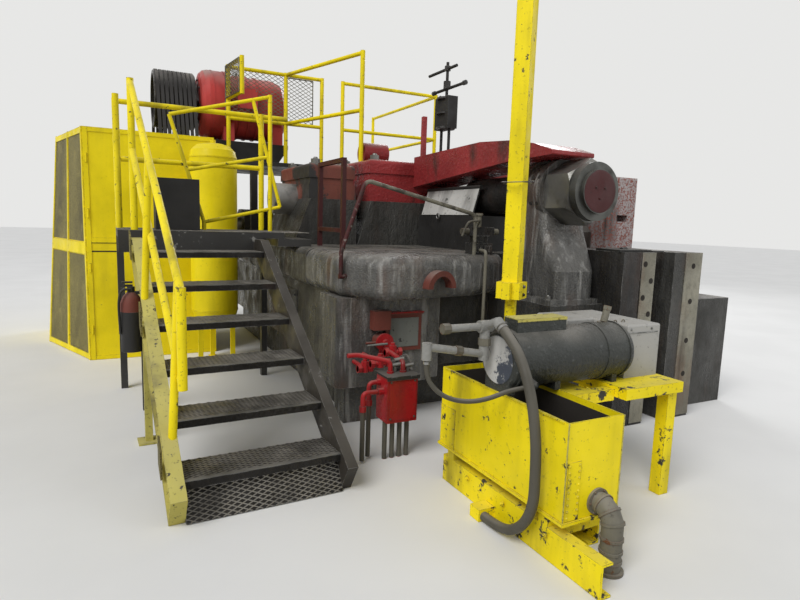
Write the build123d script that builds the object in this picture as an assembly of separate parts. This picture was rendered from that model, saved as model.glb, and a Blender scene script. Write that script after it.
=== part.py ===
from build123d import *
import math
import os

os.makedirs("parts", exist_ok=True)

# A forging upsetter with its stair, landing, drive and spray tank, in millimetres.
# x = 0 is the heading centre line and grows to the right of someone facing the machine's length,
# y = 0 is the crankshaft and grows away from the dies, and z = 0 is the floor.

SEAT = 0.3
PRESS = 0.4
CUT = 5
ROUND_TURNS = (0, 30, 60, 90)

# Bed casting
BED_LEFT = -2560
BED_RIGHT = 1150
BED_FRONT = -2100
BED_REAR = 2450
PLINTH_H = 400
PLINTH_INSET = 130
BODY_TOP = 1060
SHOULDER_TOP = 1400
SHOULDER_LEFT = -2650
SHOULDER_FRONT = -1450
SHOULDER_ROUND = 70
SLOT_LEFT = -450
SLOT_RIGHT = 300
SLOT_FLOOR = 720
SLOT_REAR = 700
FRONT_WALL = -2950
FRONT_LEDGE_TOP = 1030
FRONT_LEFT = -1100

# Crankshaft and its bearings
CRANK_Z = 1880
JOURNAL_R = 170
THROW = 190
PIN_R = 150
WEB_T = 110
WEB_GAP = 25
EYE_WALL = 95
WEB_WALL = 30
WEB_ROUND = 90
CRANK_END = 260
PITMAN_CLEAR = 10
PITMAN_STEP = 60
WRIST_DROP = 200
WRIST_HALF = 130
OUTER_CAP_X = (-2340, -1820)
LEFT_CAP_X = (-1650, -500)
RIGHT_CAP_X = (370, 1050)
CAP_HALF_LEN = 550
OUTER_CAP_TOP = 2250
MAIN_CAP_TOP = 2340
PEDESTAL_LEDGE = 60
OUTER_FLARE = 180
INNER_FLARE = 150
CAP_CORNER = 45
CAP_RELIEF = 14
CAP_BAND = 70
CAP_BAND_DROP = 150
DRUM_X = (-1520, -1210)
DRUM_R = 122
DRUM_SINK = 5
DRUM_MOUTH = 60
DRUM_WALL = 20
LAMP_POST = (-870, -340)
LAMP_POST_TOP = 2894
LAMP_POST_W = 50

# Overhead tie beams, tie rod and front uprights
BEAM_LEFT_X = (-1100, -650)
BEAM_RIGHT_X = (300, 690)
BEAM_REAR = (2060, 2392)
BEAM_CROWN_Y = -1846
BEAM_CROWN = (2177, 2427)
BEAM_KNEE_Y = -2300
BEAM_KNEE = (2216, 2394)
BEAM_NOSE_Y = -2848
BEAM_NOSE = (2231, 2266)
BEAM_BROW = (-2624, 2337)
BEAM_NOSE_ROUND = 12
RIGHT_BEAM_H = 150
ROD_X = -750
ROD_Z = 1950
ROD_R = 105
SLEEVE_R = 176
SLEEVE_Y = (-2320, -1330)
BOSS_R = 285
BOSS_Y = (-2650, -2350)
RING_STEP = 28
RING_W = 80
NUT_FLATS = 470
NUT_LEN = 290
NUT_CHAMFER = 26
FLANGE_R = 234
FLANGE_LEN = 70
CAP_DISC_R = 175
CAP_DISC_LEN = 30
COLUMN_Z = (1075, 1300, 1640, 1900)
COLUMN_X = ((-1015, -612), (-1015, -600), (-1000, -520), (-985, -515))
COLUMN_FRONT = (-2935, -2925, -2700, -2640)
COLUMN_REAR = -2370
COLUMN_ROUND = 85
FOOT_FRONT = -2945
FOOT_RIGHT = -590
FOOT_LEDGE = 60
RIGHT_UPRIGHT_Y = (-2150, -1600)
RIGHT_UPRIGHT_TOP = 2185
UPRIGHT_ROUND = 25
POCKET_W = 150
POCKET_H = 65
POCKET_Z = 1768
POCKET_DEPTH = 120

# Gripping mechanism housing at the left front
GRIP_PLAN = ((-1100, -1450), (-2650, -1450), (-2650, -2200), (-2420, -2640), (-1450, -2480), (-1100, -2290))
GRIP_CORNER = 170
GRIP_EDGE = 95
GRIP_WALL_X = (-2665, -1824)
GRIP_WALL_FRONT = -2300
GRIP_WALL_REAR = -1880
GRIP_WALL_BASE = 330
GRIP_WALL_ROUND = 60
GRIP_FOOT_INSET = 110
SIDE_PLATE_X = -1704
SIDE_PLATE_STEP = 60

# Dies, heading slide and the guard beside the slide
DIE_LEFT_X = (-545, -180)
DIE_RIGHT_X = (60, 410)
DIE_FRONT = -3150
DIE_TOP = 1476
DIE_HEAD = 620
DIE_GROOVE_X = -340
DIE_GROOVE = 12
SLIDE_CLEAR = 20
SLIDE_Y = (-1950, -650)
SLIDE_Z = (760, 1620)
HOOD_H = 480
HOOD_REAR_SLOPE = 100
HOOD_FRONT_SLOPE = 500
GUARD_BOX_X = (-1060, -475)
GUARD_BOX_GAP = 30
GUARD_BOX_Y = (-1790, -CAP_HALF_LEN - PEDESTAL_LEDGE - GUARD_BOX_GAP)
GUARD_BOX_TOP = 1745
GUARD_SHEET = 10
COVER_TOP_X = -985
COVER_TOP_Z = 2022
COVER_T = 12
COVER_INSET = 70
COVER_BAR_R = 22

# Drive
SHEAVE_X = (-3660, -3160)
SHEAVE_R = 350
DRIVE_Y = 1900
DRIVE_Z = 3140
SHEAVE_RIM = 35
SHEAVE_WEB = 190
HUB_R = 95
HUB_INSET = 90
BELT_GAP = 6
BELT_T = 16
BELT_COUNT = 9
BELT_RIM = 12
BELT_SPACE = 15
SHAFT_R = 45
FLYWHEEL_R = 920
FLYWHEEL_Y = 1850
FLYWHEEL_Z = 1550
RIM_CLEAR = 0.4
BACK_SHAFT_R = 110
BEARING_LEN = 420
BEARING_HALF = 260
BEARING_WALL = 110
BEARING_ROUND = 180
SHAFT_END = 50
MOTOR_X = (-3110, -1930)
MOTOR_R = 445
BODY_STEP = 35
BELL_LEN = 330
BELL_ROUND = 110
TAIL_ROUND = 230
BORE_DEPTH = 150
MOTOR_FEET = (0.3, 0.85)
FOOT_HALF_X = 70
FOOT_HALF_Y = 330
FOOT_DROP = 250
MOTOR_BASE_Z = 2650
MOTOR_DECK_Z = 2350
MOTOR_DECK_T = 50
BASE_X = (-2990, -1980)
BASE_HALF = 400
BASE_T = 50
BRACKET_FOOT_X = (-2800, -2150)
BRACKET_T = 20

# Platform round the drive
DECK_X = (-2900, 350)
DECK_Y = (800, 2400)
REAR_DECK_X = -450
REAR_DECK_Y = 3800
DECK_LEG = 80
DECK_OVERHANG = 300
DECK_MIDDLE = -1440
DECK_RAIL_Z = 3556
DECK_MID_Z = 2925
FRONT_RAIL_Y = 1400
SIDE_RAIL_X = -2795
MIDDLE_POST_X = -2041
GATE_POST_X = -1536
REAR_POST_X = -1230
REAR_CORNER_X = 280
CAP_POST = (-1578, -121)
SIDE_PANEL_END = (-2730, 870)
SIDE_PANEL_H = 391
SIDE_PANEL_Z = DECK_RAIL_Z - SIDE_PANEL_H
SCREEN_T = 15

# Flywheel guard
GUARD_LEFT = -4940
GUARD_CORNER = (-4450, 2050)
GUARD_LEAN = 180
GUARD_RIGHT = -3080
GUARD_WALL = 25
GUARD_CLEAR = 93
GUARD_HEADROOM = 63
GUARD_SLOT_INSET = 330
GUARD_SLOT_SIDE = 30

# Air receiver
RECEIVER = (-3160, 350)
RECEIVER_R = 255
RECEIVER_Z = (450, 2455)
RECEIVER_ROUND = 150
RECEIVER_LEG = 50

# Stair and landing
STAIR_LEFT = -3919
STAIR_RIGHT = -3002
STAIR_TURN = 2.2
FIRST_NOSING = -3296
RISER = 228.6
GOING = 336
TREAD_COUNT = 6
TREAD_DEPTH = 300
TREAD_T = 8
NOSING_H = 45
STRINGER_T = 12
STRINGER_DEPTH = 250
STRINGER_LIFT = 25
STRINGER_TIP_Y = -3410
STRINGER_OVERRUN = 60
STAIR_PROP_Y = -1988
STAIR_PROP_W = 50
RIGHT_FLANGE = 58
LEFT_FLANGE = 75
FLANGE_T = 10
LANDING_Z = 1530
LANDING_T = 60
LANDING_X = (-4170, -2760)
LANDING_Y = (-1270, -450)
LANDING_NOTCH = (-3000, -1130)
LANDING_LEGS = ((-3990, -1235), (-4140, -480), (-2800, -480))
LANDING_BEAM_H = 120
LANDING_SEAT = 150
POST = 60
RAIL_R = 24
POST_R = 27
TOE_Y = (-3335, -3245)
TOE_Z = (4, 178)
TOE_T = 6
HAND_TOP = (-4043, -1228, 2703)
HAND_BEND = (-3900, -3150, 1249)
HAND_DROP = 529
HAND_POST_OUT = 50
HAND_POST_Y = (-3080, -2095)
LANDING_RAIL_Z = 2665
LANDING_MID_Z = 2156
LANDING_POST_Y = -700
LANDING_POST_X = -2823
LANDING_RAIL_END = -2556
GATE_Y = -800
GATE_R = 17
GATE_TOP = ((-3718, 2548), (-2814, 2804))
GATE_FOOT = (-3434, 1605)
GATE_TOE = (-2715, 1771)
GATE_TOP_RIGHT = (-2976, 2758)
GATE_BRACE = ((-3575, 2072), (-2840, 2240))
GATE_POST_R = 20
BIN_X = (-3868, -3510)
BIN_Y = (-1100, -840)
BIN_H = 444
BIN_WALL = 6

# Spray tank in front of the grip housing
TANK_X = (-2330, -1965)
TANK_Y = (-4499, -3351)
TANK_Z = (223, 743)
TANK_WALL = 8
TANK_LIP = 12
TANK_LIP_H = 18
SKID_H = 170
SKID_T = 12
SKID_FLANGE = 70
SKID_Y = (-4760, -3400)
SKID_SETBACK = 100
TABLE_X = (-1600, -1110)
TABLE_Y = (-4190, -3400)
TABLE_APRON = 66
TABLE_LEG = 78
TABLE_T = 10
BOX_RIGHT = -1750
BOX_Y = (-4100, -3800)
BOX_Z = (400, 720)
BOX_HOLE_Z = (433, 563)
BOX_WALL = 12
VESSEL_R = 170
VESSEL_Y = -3925
VESSEL_LIFT = 8
VESSEL_LEFT = -2336
VESSEL_ROUND = 40
SADDLE_W = 40
SADDLE_HALF = 110
RELAY_X = (-2260, -1910)
RELAY_Y = (-3990, -3870)
RELAY_TOP = 1150
COVER_X = (-1420, -1130)
COVER_Y = (-4000, -3420)
COVER_H = 335
COVER_GAP = 10
COVER_ROUND = 15
WING_X = -1640
WING_LEN = 300
WING_LIFT = 157
PIPE_R = 22
PIPE_Y = -3883
PIPE_END_X = -2660
REDUCER_R = 34
REDUCER_HALF = 40
LOW_PIPE_Z = 950
LOW_PIPE_END = (-2766, -3883, 1015)
DRAIN_X = -2110
DRAIN_Z = 315
DRAIN_R = 52
DRAIN_REACH = 110
DRAIN_BEND = 90
DRAIN_GORES = 3
DRAIN_COLLAR = 16
DRAIN_COLLAR_T = 14

# Hose from the vessel's pipe to the floor
HOSE_R = 27.5
SPIGOT_R = 31
HOSE_ELBOW = (-2400, -3990, 1152)
HOSE_START = (-2400, -4030, 1128)
HOSE_ROUTE = (
    HOSE_START,
    (-2400, -4150, 1056),
    (-2400, -4240, 946),
    (-2400, -4307, 810),
    (-2400, -4355, 621),
    (-2400, -4366, 450),
    (-2400, -4366, 264),
    (-2400, -4280, 116),
    (-2400, -4132, 29),
    (-2400, -3965, 29),
)
SOCKET_LEN = 90
SOCKET_W = 70

# Thinner hose that sags from the lower pipe to a port low on the vessel's front
THIN_HOSE_R = 13
PORT_R = 17
THIN_HOSE_ROUTE = (
    (-2766, -3883, 945),
    (-2766, -3883, 862),
    (-2725, -3905, 786),
    (-2650, -3938, 734),
    (-2544, -3984, 718),
    (-2439, -4026, 742),
    (-2346, -4065, 788),
    (-2247, -4107, 806),
)
PORT_ELBOW = (-2214, -4121, 812)
PORT_ROOT = (-2214, -3990, 850)

# Mast, valves, small pipework and boxes
MAST_XY = (-1618, -3100)
MAST_W = 116
MAST_Z = (1255, 3360)
COLLAR_W = 176
COLLAR_H = 120
MAST_PIN_R = 42
MAST_TURN = 34
MAST_FOOT_W = 300
MAST_FOOT_T = 20
LUG_W = 60
LUG_OUT = 45
VALVE_X = -870
VALVE_Y = (-964, -684)
VALVE_Z = (2688, 3027)
VALVE_HALF = 60
VALVE_STEM_TOP = 3400
VALVE_ROD_R = 16
VALVE_ARMS = ((3120, (-1190, -560)), (3330, (-1010, -427)))
VALVE_FOOT_Y = (-1045, -661)
VALVE_FOOT_HALF = 90
VALVE_FOOT_T = 14
JUNCTION_X = (-2579, -2348)
JUNCTION_Y = (-3050, -2870)
JUNCTION_Z = (285, 605)
CONDUITS = 4
CONDUIT_R = 16
PANEL_X = (-2260, -1930)
PANEL_Z = (610, 915)
PANEL_T = 30
SWITCH_X = (-2389, -2242)
SWITCH_Z = (802, 957)
SWITCH_DEPTH = 90
VALVE_BODY = (-2298, 705)
VALVE_BODY_R = 68
LEVER_REACH = 155
LEVER_R = 10
LADDER_X = -2360
LADDER_Y = (-1566, -900)
LADDER_BAR = 40
LADDER_RUNG = 1550
LADDER_TOP = 2215
ARCH_Y = -2290
ARCH_R = 16.5
PIPE_WALL = 3
ARCH_BEND = 60
ARCH_LEFT = (-2640, 1230)
ARCH_CORNERS = ((-2640, 1420), (-2445, 1975), (-1410, 1742))
HOOK_ALONG = 490
HOOK_Z = 1155
HOOK_R = 140
HOOK_WALL = 45
HOOK_LEN = 80


def block(xs, ys, zs):
    """Box between pairs of limits along x, y and z."""
    size = (xs[1] - xs[0], ys[1] - ys[0], zs[1] - zs[0])
    middle = ((xs[0] + xs[1]) / 2, (ys[0] + ys[1]) / 2, (zs[0] + zs[1]) / 2)
    return Pos(*middle) * Box(*size)


def rod(start, end, radius):
    """Round bar from one point to another."""
    start, end = Vector(*start), Vector(*end)
    plane = Plane(origin=start, z_dir=end - start)
    return extrude(plane * Circle(radius), (end - start).length)


def bar_x(xs, y, z, radius):
    return rod((xs[0], y, z), (xs[1], y, z), radius)


def bar_y(x, ys, z, radius):
    return rod((x, ys[0], z), (x, ys[1], z), radius)


def bar_z(x, y, zs, radius):
    return rod((x, y, zs[0]), (x, y, zs[1]), radius)


def square_bar(x, y, zs, width):
    """Upright bar of square section."""
    half = width / 2
    return block((x - half, x + half), (y - half, y + half), zs)


def plate_x(xs, points):
    """Outline given as (y, z) points, extruded between two x limits."""
    face = make_face(Polyline(*[(xs[0], y, z) for y, z in points], close=True))
    return extrude(face, xs[1] - xs[0], dir=(1, 0, 0))


def plate_y(ys, points):
    """Outline given as (x, z) points, extruded between two y limits."""
    face = make_face(Polyline(*[(x, ys[0], z) for x, z in points], close=True))
    return extrude(face, ys[1] - ys[0], dir=(0, 1, 0))


def plate_z(zs, points):
    """Outline given as (x, y) points, extruded between two heights."""
    face = make_face(Polyline(*[(x, y, zs[0]) for x, y in points], close=True))
    return extrude(face, zs[1] - zs[0], dir=(0, 0, 1))


def fuse(pieces):
    """One shape out of a list of shapes."""
    whole = pieces[0]
    for piece in pieces[1:]:
        whole = whole + piece
    return whole


def grown(limits, amount):
    """A pair of limits moved apart by the same amount at each end."""
    return (limits[0] - amount, limits[1] + amount)


def between(first, second, share):
    """Value a given share of the way from the first to the second."""
    return first + (second - first) * share


def rounded_rod(start, end, radius, rounds):
    """Round bar whose ends are rounded over in a few cones."""
    start, end = Vector(*start), Vector(*end)
    length = (end - start).length
    outline = [(0, 0)]
    for turn in ROUND_TURNS:
        outline.append(round_point(0, 1, radius, rounds[0], turn))
    for turn in reversed(ROUND_TURNS):
        outline.append(round_point(length, -1, radius, rounds[1], turn))
    outline.append((0, length))
    half = make_face(Polyline(*[(x, 0, z) for x, z in outline], close=True))
    return Plane(origin=start, z_dir=end - start).location * revolve(half, Axis.Z)


def round_point(limit, inward, radius, corner, turn):
    """Point (radius, height) on a rounded corner, at an angle from the flat end."""
    turn = math.radians(turn)
    return (radius - corner * (1 - math.sin(turn)), limit + inward * corner * (1 - math.cos(turn)))


def bent_pipe(points, radius, bend):
    """Pipe through the points, with the same bend at each corner."""
    path = FilletPolyline(*points, radius=bend)
    start = Plane(origin=path @ 0, z_dir=path % 0)
    return sweep(start * Circle(radius), path=path)


def hose(points, radius):
    """Flexible tube whose arcs are as large as the runs beside each corner allow."""
    radii = []
    for before, corner, after in zip(points, points[1:], points[2:]):
        run_in, run_out = Vector(*corner) - Vector(*before), Vector(*after) - Vector(*corner)
        half_turn = math.radians(run_in.get_angle(run_out)) / 2
        radii.append(0.45 * min(run_in.length, run_out.length) / math.tan(half_turn))
    print("hose radii", [round(value) for value in radii])
    path = FilletPolyline(*points, radius=radii)
    start = Plane(origin=path @ 0, z_dir=path % 0)
    return sweep(start * Circle(radius), path=path)


def save(node, shape):
    export_step(Compound(children=list(shape.solids())), f"parts/{node}.step")


def crank_bore(xs):
    return bar_x(grown(xs, CUT), 0, CRANK_Z, JOURNAL_R + PRESS)


def pedestal(xs, flare):
    """Bearing pedestal, wider at its foot on the left side."""
    outline = [
        (xs[0] - flare, SHOULDER_TOP),
        (xs[1], SHOULDER_TOP),
        (xs[1], CRANK_Z),
        (xs[0], CRANK_Z),
    ]
    half = CAP_HALF_LEN + PEDESTAL_LEDGE
    return plate_y((-half, half), outline)


def bed_frame():
    body = block((BED_LEFT, BED_RIGHT), (BED_FRONT, BED_REAR), (PLINTH_H, BODY_TOP))
    plinth = block(
        grown((BED_LEFT, BED_RIGHT), -PLINTH_INSET),
        grown((BED_FRONT, BED_REAR), -PLINTH_INSET),
        (0, PLINTH_H),
    )
    shoulder = block((SHOULDER_LEFT, BED_RIGHT), (SHOULDER_FRONT, BED_REAR), (BODY_TOP, SHOULDER_TOP))
    shoulder = fillet(shoulder.edges().filter_by(Axis.Y).sort_by(Axis.X)[:2], SHOULDER_ROUND)
    front = block((FRONT_LEFT, BED_RIGHT), (FRONT_WALL, BED_FRONT), (0, FRONT_LEDGE_TOP))
    side = block((FRONT_LEFT, BED_RIGHT), (BED_FRONT, SHOULDER_FRONT), (BODY_TOP, SHOULDER_TOP))
    whole = body + plinth + shoulder + front + side
    whole += pedestal(OUTER_CAP_X, OUTER_FLARE) + pedestal(LEFT_CAP_X, INNER_FLARE) + pedestal(RIGHT_CAP_X, 0)
    whole -= block((SLOT_LEFT, SLOT_RIGHT), (FRONT_WALL - CUT, SLOT_REAR), (SLOT_FLOOR, CRANK_Z + CUT))
    return whole - crank_bore((OUTER_CAP_X[0] - OUTER_FLARE, RIGHT_CAP_X[1]))


def bearing_cap(xs, top):
    """Bearing cap with a rounded crown above a shallow band."""
    cap = block(xs, (-CAP_HALF_LEN, CAP_HALF_LEN), (CRANK_Z, top))
    cap = fillet(cap.faces().sort_by(Axis.Z)[-1].edges(), CAP_CORNER)
    band = (top - CAP_BAND_DROP - CAP_BAND, top - CAP_BAND_DROP)
    ring = block(grown(xs, CUT), grown((-CAP_HALF_LEN, CAP_HALF_LEN), CUT), band)
    core = block(grown(xs, -CAP_RELIEF), grown((-CAP_HALF_LEN, CAP_HALF_LEN), -CAP_RELIEF), band)
    return cap - (ring - core) - crank_bore(xs)


def left_bearing_cap():
    """Main cap with the lifting drum and the lamp post that stand on it."""
    cap = bearing_cap(LEFT_CAP_X, MAIN_CAP_TOP)
    drum_z = MAIN_CAP_TOP + DRUM_R - DRUM_SINK
    drum = bar_x(DRUM_X, 0, drum_z, DRUM_R)
    mouth = bar_x((DRUM_X[0] - CUT, DRUM_X[0] + DRUM_MOUTH), 0, drum_z, DRUM_R - DRUM_WALL)
    post = square_bar(LAMP_POST[0], LAMP_POST[1], (MAIN_CAP_TOP, LAMP_POST_TOP), LAMP_POST_W)
    return cap + (drum - mouth) + post


def crankshaft():
    pin_z = CRANK_Z + THROW
    web_half = JOURNAL_R + WEB_WALL
    left_web = (SLOT_LEFT + WEB_GAP, SLOT_LEFT + WEB_GAP + WEB_T)
    right_web = (SLOT_RIGHT - WEB_GAP - WEB_T, SLOT_RIGHT - WEB_GAP)
    left = bar_x((OUTER_CAP_X[0] - CRANK_END, left_web[0]), 0, CRANK_Z, JOURNAL_R)
    right = bar_x((right_web[1], RIGHT_CAP_X[1] + PEDESTAL_LEDGE), 0, CRANK_Z, JOURNAL_R)
    pin = bar_x((left_web[1], right_web[0]), 0, pin_z, PIN_R)
    webs = []
    for xs in (left_web, right_web):
        web = block(xs, (-web_half, web_half), (CRANK_Z - web_half, pin_z + web_half))
        webs.append(fillet(web.edges().filter_by(Axis.X), WEB_ROUND))
    return left + right + pin + webs[0] + webs[1]


def pitman():
    """Connecting rod from the crank pin to the heading slide."""
    pin_z = CRANK_Z + THROW
    side = WEB_GAP + WEB_T + PITMAN_CLEAR
    xs = (SLOT_LEFT + side, SLOT_RIGHT - side)
    eye = bar_x(xs, 0, pin_z, PIN_R + EYE_WALL)
    wrist_z = SLIDE_Z[1] - WRIST_DROP
    arm = plate_x(
        grown(xs, -PITMAN_STEP),
        [
            (-JOURNAL_R, pin_z - PIN_R),
            (-JOURNAL_R, pin_z + PIN_R),
            (SLIDE_Y[1], wrist_z + WRIST_HALF),
            (SLIDE_Y[1], wrist_z - WRIST_HALF),
        ],
    )
    return eye + arm - bar_x(grown(xs, CUT), 0, pin_z, PIN_R + PRESS)


def left_tie_beam():
    """Beam from the left cap to the tie-rod boss, tapering to a thin nose."""
    outline = [
        (-CAP_HALF_LEN, BEAM_REAR[0]),
        (BEAM_CROWN_Y, BEAM_CROWN[0]),
        (BEAM_KNEE_Y, BEAM_KNEE[0]),
        (BEAM_NOSE_Y, BEAM_NOSE[0]),
        (BEAM_NOSE_Y, BEAM_NOSE[1]),
        (BEAM_BROW[0], BEAM_BROW[1]),
        (BEAM_KNEE_Y, BEAM_KNEE[1]),
        (BEAM_CROWN_Y, BEAM_CROWN[1]),
        (-CAP_HALF_LEN, BEAM_REAR[1]),
    ]
    beam = plate_x(BEAM_LEFT_X, outline)
    beam = fillet(beam.edges().filter_by(Axis.X).sort_by(Axis.Y)[:2], BEAM_NOSE_ROUND)
    return beam - bar_y(ROD_X, grown(BOSS_Y, CUT), ROD_Z, BOSS_R + SEAT)


def beam_top(y):
    """Height of the left beam's top face between its rear end and its crown."""
    share = (y + CAP_HALF_LEN) / (BEAM_CROWN_Y + CAP_HALF_LEN)
    return between(BEAM_REAR[1], BEAM_CROWN[1], share)


def right_tie_beam():
    outline = [
        (-CAP_HALF_LEN, BEAM_REAR[0]),
        (RIGHT_UPRIGHT_Y[1], RIGHT_UPRIGHT_TOP - RIGHT_BEAM_H),
        (RIGHT_UPRIGHT_Y[1], RIGHT_UPRIGHT_TOP),
        (-CAP_HALF_LEN, MAIN_CAP_TOP - CAP_CORNER),
    ]
    return plate_x(BEAM_RIGHT_X, outline)


def left_front_upright():
    """Cast column that leans back to the boss of the tie rod, on a flanged foot."""
    sections = []
    for z, xs, front in zip(COLUMN_Z, COLUMN_X, COLUMN_FRONT):
        plane = Plane(origin=((xs[0] + xs[1]) / 2, (front + COLUMN_REAR) / 2, z))
        sections.append(plane * RectangleRounded(xs[1] - xs[0], COLUMN_REAR - front, COLUMN_ROUND))
    column = loft(sections, ruled=True)
    foot = block(
        (FRONT_LEFT, FOOT_RIGHT),
        (FOOT_FRONT, COLUMN_REAR + FOOT_LEDGE),
        (FRONT_LEDGE_TOP, COLUMN_Z[0]),
    )
    front_ring = (BOSS_Y[0], BOSS_Y[0] + RING_W)
    rear_ring = (BOSS_Y[1] - RING_W, BOSS_Y[1])
    boss = bar_y(ROD_X, (front_ring[1], rear_ring[0]), ROD_Z, BOSS_R - RING_STEP)
    boss = boss + bar_y(ROD_X, front_ring, ROD_Z, BOSS_R) + bar_y(ROD_X, rear_ring, ROD_Z, BOSS_R)
    spot_face = bar_y(ROD_X, (FOOT_FRONT, BOSS_Y[0]), ROD_Z, nut_corner_r() + SEAT)
    bore = bar_y(ROD_X, grown((FOOT_FRONT, BOSS_Y[1]), CUT), ROD_Z, ROD_R + PRESS)
    return foot + column + boss - spot_face - bore


def tie_rod():
    shaft = bar_y(ROD_X, (BOSS_Y[0] - NUT_LEN, -CAP_HALF_LEN - PEDESTAL_LEDGE), ROD_Z, ROD_R)
    return shaft + bar_y(ROD_X, SLEEVE_Y, ROD_Z, SLEEVE_R)


def nut_corner_r():
    return NUT_FLATS / math.sqrt(3)


def tie_rod_nut():
    """Hexagon nut with its corners turned off at both ends."""
    plane = Plane(origin=(ROD_X, BOSS_Y[0], ROD_Z), x_dir=(1, 0, 0), z_dir=(0, -1, 0))
    hexagon = plane * RegularPolygon(NUT_FLATS / 2, 6, major_radius=False, rotation=30)
    ys = (BOSS_Y[0] - NUT_LEN, BOSS_Y[0])
    turned = bar_y(ROD_X, ys, ROD_Z, nut_corner_r())
    turned = chamfer(turned.edges().filter_by(GeomType.CIRCLE), NUT_CHAMFER)
    return (extrude(hexagon, NUT_LEN) & turned) - bar_y(ROD_X, grown(ys, CUT), ROD_Z, ROD_R + PRESS)


def tie_rod_cap():
    front = BOSS_Y[0] - NUT_LEN
    flange = bar_y(ROD_X, (front - FLANGE_LEN, front), ROD_Z, FLANGE_R)
    disc = bar_y(ROD_X, (front - FLANGE_LEN - CAP_DISC_LEN, front - FLANGE_LEN), ROD_Z, CAP_DISC_R)
    return flange + disc


def right_front_upright():
    """Block with the square pocket in its face."""
    upright = block(BEAM_RIGHT_X, RIGHT_UPRIGHT_Y, (SHOULDER_TOP, RIGHT_UPRIGHT_TOP))
    upright = fillet(upright.faces().sort_by(Axis.Y)[0].edges().sort_by(Axis.Z)[1:], UPRIGHT_ROUND)
    middle = (BEAM_RIGHT_X[0] + BEAM_RIGHT_X[1]) / 2
    pocket = block(
        (middle - POCKET_W / 2, middle + POCKET_W / 2),
        (RIGHT_UPRIGHT_Y[0] - CUT, RIGHT_UPRIGHT_Y[0] + POCKET_DEPTH),
        (POCKET_Z - POCKET_H / 2, POCKET_Z + POCKET_H / 2),
    )
    return upright - pocket


def grip_housing():
    """Bulging housing of the gripping mechanism, on its wall and foot."""
    ledge = plate_z((BODY_TOP, SHOULDER_TOP), GRIP_PLAN)
    corners = ledge.edges().filter_by(Axis.Z).sort_by(Axis.Y)[:4]
    ledge = fillet([edge for edge in corners if edge.center().X < FRONT_LEFT - CUT], GRIP_CORNER)
    rims = ledge.faces().sort_by(Axis.Z)[0].edges() + ledge.faces().sort_by(Axis.Z)[-1].edges()
    soft = [e for e in rims if e.center().Y < SHOULDER_FRONT - CUT and e.center().X < FRONT_LEFT - CUT]
    ledge = fillet([e for e in soft if abs(e.center().X - GRIP_PLAN[-1][0]) > GRIP_CORNER], GRIP_EDGE)
    wall = block(GRIP_WALL_X, (GRIP_WALL_FRONT, BED_FRONT), (GRIP_WALL_BASE, BODY_TOP))
    wall = fillet(wall.edges().filter_by(Axis.Z).sort_by(Axis.Y)[:2], GRIP_WALL_ROUND)
    cheek = block((GRIP_WALL_X[0], BED_LEFT), (BED_FRONT, GRIP_WALL_REAR), (GRIP_WALL_BASE, BODY_TOP))
    side = block(
        (GRIP_WALL_X[1], SIDE_PLATE_X),
        (GRIP_WALL_FRONT + SIDE_PLATE_STEP, BED_FRONT),
        (GRIP_WALL_BASE, BODY_TOP),
    )
    foot = block(
        grown(GRIP_WALL_X, -GRIP_FOOT_INSET),
        (GRIP_WALL_FRONT + GRIP_FOOT_INSET, BED_FRONT + PLINTH_INSET),
        (0, PLINTH_H),
    )
    return ledge + wall + cheek + side + foot


def die_block(xs):
    """Die block on its own front column, with its head on the bed's ledge."""
    column = block(xs, (DIE_FRONT, FRONT_WALL), (0, DIE_TOP))
    head = block(xs, (FRONT_WALL, FRONT_WALL + DIE_HEAD), (FRONT_LEDGE_TOP, DIE_TOP))
    return column + head


def left_die_block():
    """Left die block with the seam between its clamp plate and its die."""
    seam = block(
        (DIE_GROOVE_X - DIE_GROOVE / 2, DIE_GROOVE_X + DIE_GROOVE / 2),
        (DIE_FRONT - CUT, DIE_FRONT + DIE_GROOVE),
        (0, DIE_TOP),
    )
    return die_block(DIE_LEFT_X) - seam


def slide_x():
    return grown((SLOT_LEFT, SLOT_RIGHT), -SLIDE_CLEAR)


def heading_slide():
    return block(slide_x(), SLIDE_Y, SLIDE_Z)


def slide_cover():
    """Sloping hood over the heading slide."""
    base, crown = SLIDE_Z[1], SLIDE_Z[1] + HOOD_H
    outline = [
        (SLIDE_Y[0], base),
        (SLIDE_Y[1], base),
        (SLIDE_Y[1] - HOOD_REAR_SLOPE, crown),
        (SLIDE_Y[0] + HOOD_FRONT_SLOPE, crown),
    ]
    return plate_x(slide_x(), outline)


def throat_cover():
    """Sheet box beside the slide with a leaning cover and its bar."""
    outer = block(GUARD_BOX_X, GUARD_BOX_Y, (SHOULDER_TOP, GUARD_BOX_TOP))
    inner = block(
        grown(GUARD_BOX_X, -GUARD_SHEET),
        grown(GUARD_BOX_Y, -GUARD_SHEET),
        (SHOULDER_TOP - CUT, GUARD_BOX_TOP - GUARD_SHEET),
    )
    ys = grown(GUARD_BOX_Y, -COVER_INSET)
    left = GUARD_BOX_X[0]
    sheet = plate_y(ys, [
        (left, GUARD_BOX_TOP),
        (left + COVER_T, GUARD_BOX_TOP),
        (COVER_TOP_X + COVER_T, COVER_TOP_Z),
        (COVER_TOP_X, COVER_TOP_Z),
    ])
    bar = bar_y(COVER_TOP_X + COVER_T / 2, grown(ys, COVER_T), COVER_TOP_Z, COVER_BAR_R)
    return (outer - inner) + sheet + bar


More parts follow.
